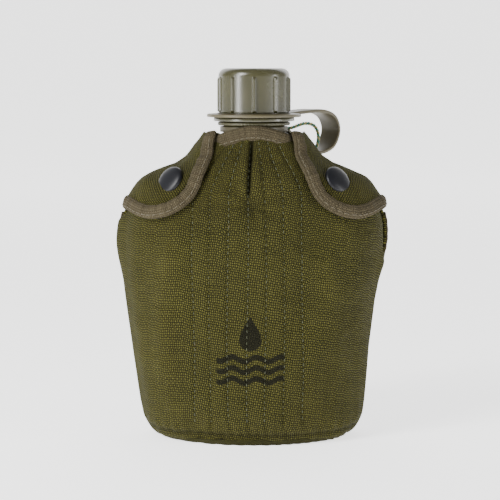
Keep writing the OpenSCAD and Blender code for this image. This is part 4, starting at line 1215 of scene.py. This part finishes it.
def makeNeckCord():
    # Two plies twisted round one middle line: each keeps 0.46 mm from it and turns once in 3.4 mm
    middle = along(cordShape["points"], np.linspace(0, len(cordShape["points"]) - 1, 200))
    run = np.concatenate([[0], np.cumsum(np.linalg.norm(np.diff(middle, axis=0), axis=1))])
    heading = pathFrames(middle)
    side = unit(np.cross(heading, [0.2, -1, 0.1]))
    up = np.cross(side, heading)
    offset = cordShape["radius"] - cordShape["ply"]
    sides = 10
    points, faces, ply, place = [], [], [], []
    for k in range(2):
        turn = run / cordShape["turn"] * 2 * math.pi + math.pi * k
        line = middle + offset * (np.cos(turn)[:, None] * side + np.sin(turn)[:, None] * up)
        head = pathFrames(line)
        across = unit(np.cross(head, [0.2, -1, 0.1]))
        over = np.cross(across, head)
        angle = np.arange(sides) * 2 * math.pi / sides
        ring = line[:, None] + cordShape["ply"] * (np.cos(angle)[None, :, None] * across[:, None]
                                                   + np.sin(angle)[None, :, None] * over[:, None])
        base = k * (ring.shape[0] * sides + 2)
        i = np.arange(sides)
        j = (i + 1) % sides
        last = (ring.shape[0] - 1) * sides
        count = ring.shape[0] * sides
        faces.append(base + np.concatenate([quadGrid(ring.shape[0], sides, True),
                                            np.stack([j, i, np.full(sides, count), np.full(sides, count)],
                                                     -1),
                                            np.stack([last + i, last + j, np.full(sides, count + 1),
                                                      np.full(sides, count + 1)], -1)]))
        points.append(np.concatenate([ring.reshape(-1, 3), line[:1], line[-1:]]))
        ply.append(np.full(count + 2, float(k)))
        flat = np.stack(np.broadcast_arrays(angle[None] * cordShape["ply"], run[:, None], 0.0),
                        -1).reshape(-1, 3)
        place.append(np.concatenate([flat, flat[:1], flat[-1:]]))
    obj = addPiece("neck_cord_yarn", np.concatenate(points), np.concatenate(faces), twistedRayon,
                   {"ply": np.concatenate(ply), "clothPlace": np.concatenate(place)})
    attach(obj, "root")
    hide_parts("neck_cord")
    path = middle[::4] * millimetre
    path = np.concatenate([path, middle[-1:] * millimetre]) if len(middle) % 4 != 1 else path


makeNeckCord()


print("bottle")
bottleShape = {"wall": 1.8, "columns": 168, "mouth": 13.2, "thread": 1.2, "root": 16.4, "bead": 20.0}


def makeBottle():
    # The body's two skins, joined at the rim under the neck
    t = np.linspace(0, 360, bottleShape["columns"], endpoint=False)
    joint = lastStation - 0.5
    s = np.concatenate([np.linspace(0.0, 2.0, 14), np.linspace(2.12, joint, 70)])
    ts, ss = np.meshgrid(t, s)
    outer, inner = layer(ts, ss, np.zeros_like(ts)), layer(ts, ss, np.full_like(ts, -bottleShape["wall"]))
    inner[-1, :, 2] = outer[-1, :, 2]
    centre = lambda ring: np.repeat(np.mean(ring, 0)[None, None], ring.shape[0], 1)
    shrink = np.linspace(0.02, 0.98, 8)[:, None, None]
    bottom = lambda ring: centre(ring) * (1 - shrink) + ring[None] * shrink
    outer = np.concatenate([bottom(outer[0]), outer])
    inner = np.concatenate([bottom(inner[0]), inner])
    grid = np.concatenate([outer, inner[::-1]])
    rows, cols = grid.shape[:2]
    points = np.concatenate([grid.reshape(-1, 3), grid[0].mean(0)[None], grid[-1].mean(0)[None]])
    i = np.arange(cols)
    k = (i + 1) % cols
    end = (rows - 1) * cols
    pole = np.full(cols, rows * cols)
    faces = np.concatenate([quadGrid(rows, cols, True), np.stack([k, i, pole, pole], -1),
                            np.stack([end + i, end + k, pole + 1, pole + 1], -1)])
    body = addPiece("bottle_body", points, faces, bottlePolyethylene)
    # The neck: bead with small teeth under it, and the thread wound up to the lip
    high = neckZ + 36.4
    bead = beadZ
    foot = float(layer(0.0, np.array(joint), np.array(0.0))[2])
    thread = np.stack([np.full(60, bottleShape["root"]), np.linspace(bead + 2.1, high - 1.2, 60)], -1)
    inside = np.stack([np.full(20, bottleShape["mouth"]), np.linspace(high - 0.5, foot + 0.3, 20)], -1)
    outline = np.concatenate([
        [[bottleShape["mouth"], foot], [17.0, foot], [16.8, bead - 3], [16.8, bead - 0.3], [17.1, bead]],
        np.stack([np.linspace(18, 19.7, 5), np.full(5, bead)], -1),
        [[19.95, bead + 0.3], [20.0, bead + 0.8], [20.0, bead + 1.4], [19.7, bead + 1.7],
         [17.0, bead + 1.7]], thread,
        [[16.2, high - 0.7], [15.6, high], [13.7, high]], inside])

    def dent(angle, profile):
        r, z = profile[:, :1], profile[:, 1:]
        teeth = (r > 19.5) & (z < bead + 1.0)
        phase = (z - high) / 4.0 - angle / (2 * math.pi)
        ridge = bell((phase - np.round(phase)) * 4.0, 0.55)
        span = smooth(z, high - 10.6, high - 9.6) * (1 - smooth(z, high - 3.6, high - 2.6))
        return (teeth * -0.45 * (np.sin(angle * 60) > 0.1)
                + (np.abs(r - bottleShape["root"]) < 0.01) * ridge * span * bottleShape["thread"])

    neck = lathe("bottle_mouth", outline, bottlePolyethylene, 240, dent=dent)
    ring = lathe("neck_ring",
                 roundCorners([[17.1, 170.8], [18.8, 170.8], [18.8, 173.7], [17.1, 173.7]], 0.35),
                 strapPolyethylene, 120)
    azimuth = math.radians(strapShape["angle"])
    out = np.array([math.cos(azimuth), math.sin(azimuth), 0])
    path = np.linspace(17.6, 21.4, 12)[:, None] * out + np.array([0, 0, 172.25])
    side = np.repeat(np.array([[-out[1], out[0], 0]]), len(path), 0)
    tab = addSweep("neck_tab", path, side, np.repeat([[0, 0, 1.0]], len(path), 0),
                   roundCorners([[-5.4, -1.0], [5.4, -1.0], [5.4, 1.0], [-5.4, 1.0]], 0.5, 4),
                   strapPolyethylene)
    for piece, node, name in ((body, ["bottle"], "bottle_polyethylene"),
                              (neck, ["bottle_neck"], "bottle_polyethylene"),
                              (ring, ["strap_neck_ring"], "strap_plastic"), (tab, [], "strap_plastic")):
        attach(piece, "root")
        if node:
            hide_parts(*node)


makeBottle()


print("belt hardware")
beltShape = {"spread": 28.0, "half": 11.5, "low": 38, "high": 122, "thick": 1.4, "keeperLow": 94.0,
             "keeperHigh": 12.0}


def makeWebbing(side):
    word = "left" if side < 0 else "right"
    z, x = np.meshgrid(np.linspace(beltShape["low"], beltShape["high"], 90),
                       np.linspace(-beltShape["half"], beltShape["half"], 26), indexing="ij")
    t = np.degrees(np.arccos(signedPower((beltShape["spread"] + x) / 66, 1.25)))
    s = stationAt(z)
    off = backOut(t, s)
    roll = 0.9 * (1 - np.clip((beltShape["half"] - np.abs(x)) / 1.0, 0, 1) ** 0.5)
    outer = cover(t, s, off + 0.5 + beltShape["thick"] - roll)
    inner = cover(t, s, off + 0.35)
    mirror = np.array([side, 1, 1])
    zeros = np.zeros_like(z)
    strip = addSlab("webbing_strip_" + word, outer * mirror, inner * mirror, cottonWebbing, 13,
                    fields={"shade": zeros, "ink": zeros + 3})
    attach(strip, "root")
    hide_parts("webbing_backing_" + word)
    # The keeper: webbing wound once round the clip's back leg
    low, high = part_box("webbing_keeper_" + word)
    cx, cy = (low[0] + high[0]) * 500, (low[1] + high[1]) * 500
    wide, deep = (high[0] - low[0]) * 500 - 0.6, (high[1] - low[1]) * 500 - 0.6
    outline = roundCorners([[cx - wide, cy - deep], [cx + wide, cy - deep], [cx + wide, cy + deep],
                            [cx - wide, cy + deep]], 1.2, 6)
    middle = np.array([cx, cy])
    zs = np.linspace(beltShape["keeperLow"], beltShape["keeperLow"] + beltShape["keeperHigh"], 24)
    ring = lambda grow: np.stack([np.concatenate([outline + unit(outline - middle) * grow,
                                                  np.zeros((len(outline), 1))], 1)] * len(zs))
    outer, inner = ring(0.6), ring(-0.6)
    outer[..., 2], inner[..., 2] = zs[:, None], zs[:, None]
    zeros = np.zeros(outer.shape[:2])
    loop = addSlab("webbing_loop_" + word, outer, inner, cottonWebbing, 0, True,
                   {"shade": zeros, "ink": zeros + 3})
    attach(loop, "root")
    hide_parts("webbing_keeper_" + word)


makeWebbing(-1)
makeWebbing(1)
for nodeName in ("belt_clip_left", "belt_clip_right", "clip_slide_left", "clip_slide_right", "drain_eyelet"):
    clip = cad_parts[nodeName]
    clip.data.materials.clear()
    clip.data.materials.append(blackenedSteel)
fleeceBase = makeBase("base_fleece", 0.0, -0.6, 1.95, 3.9, fleeceLining, "base_lining", 6.0,
                      120, 0)
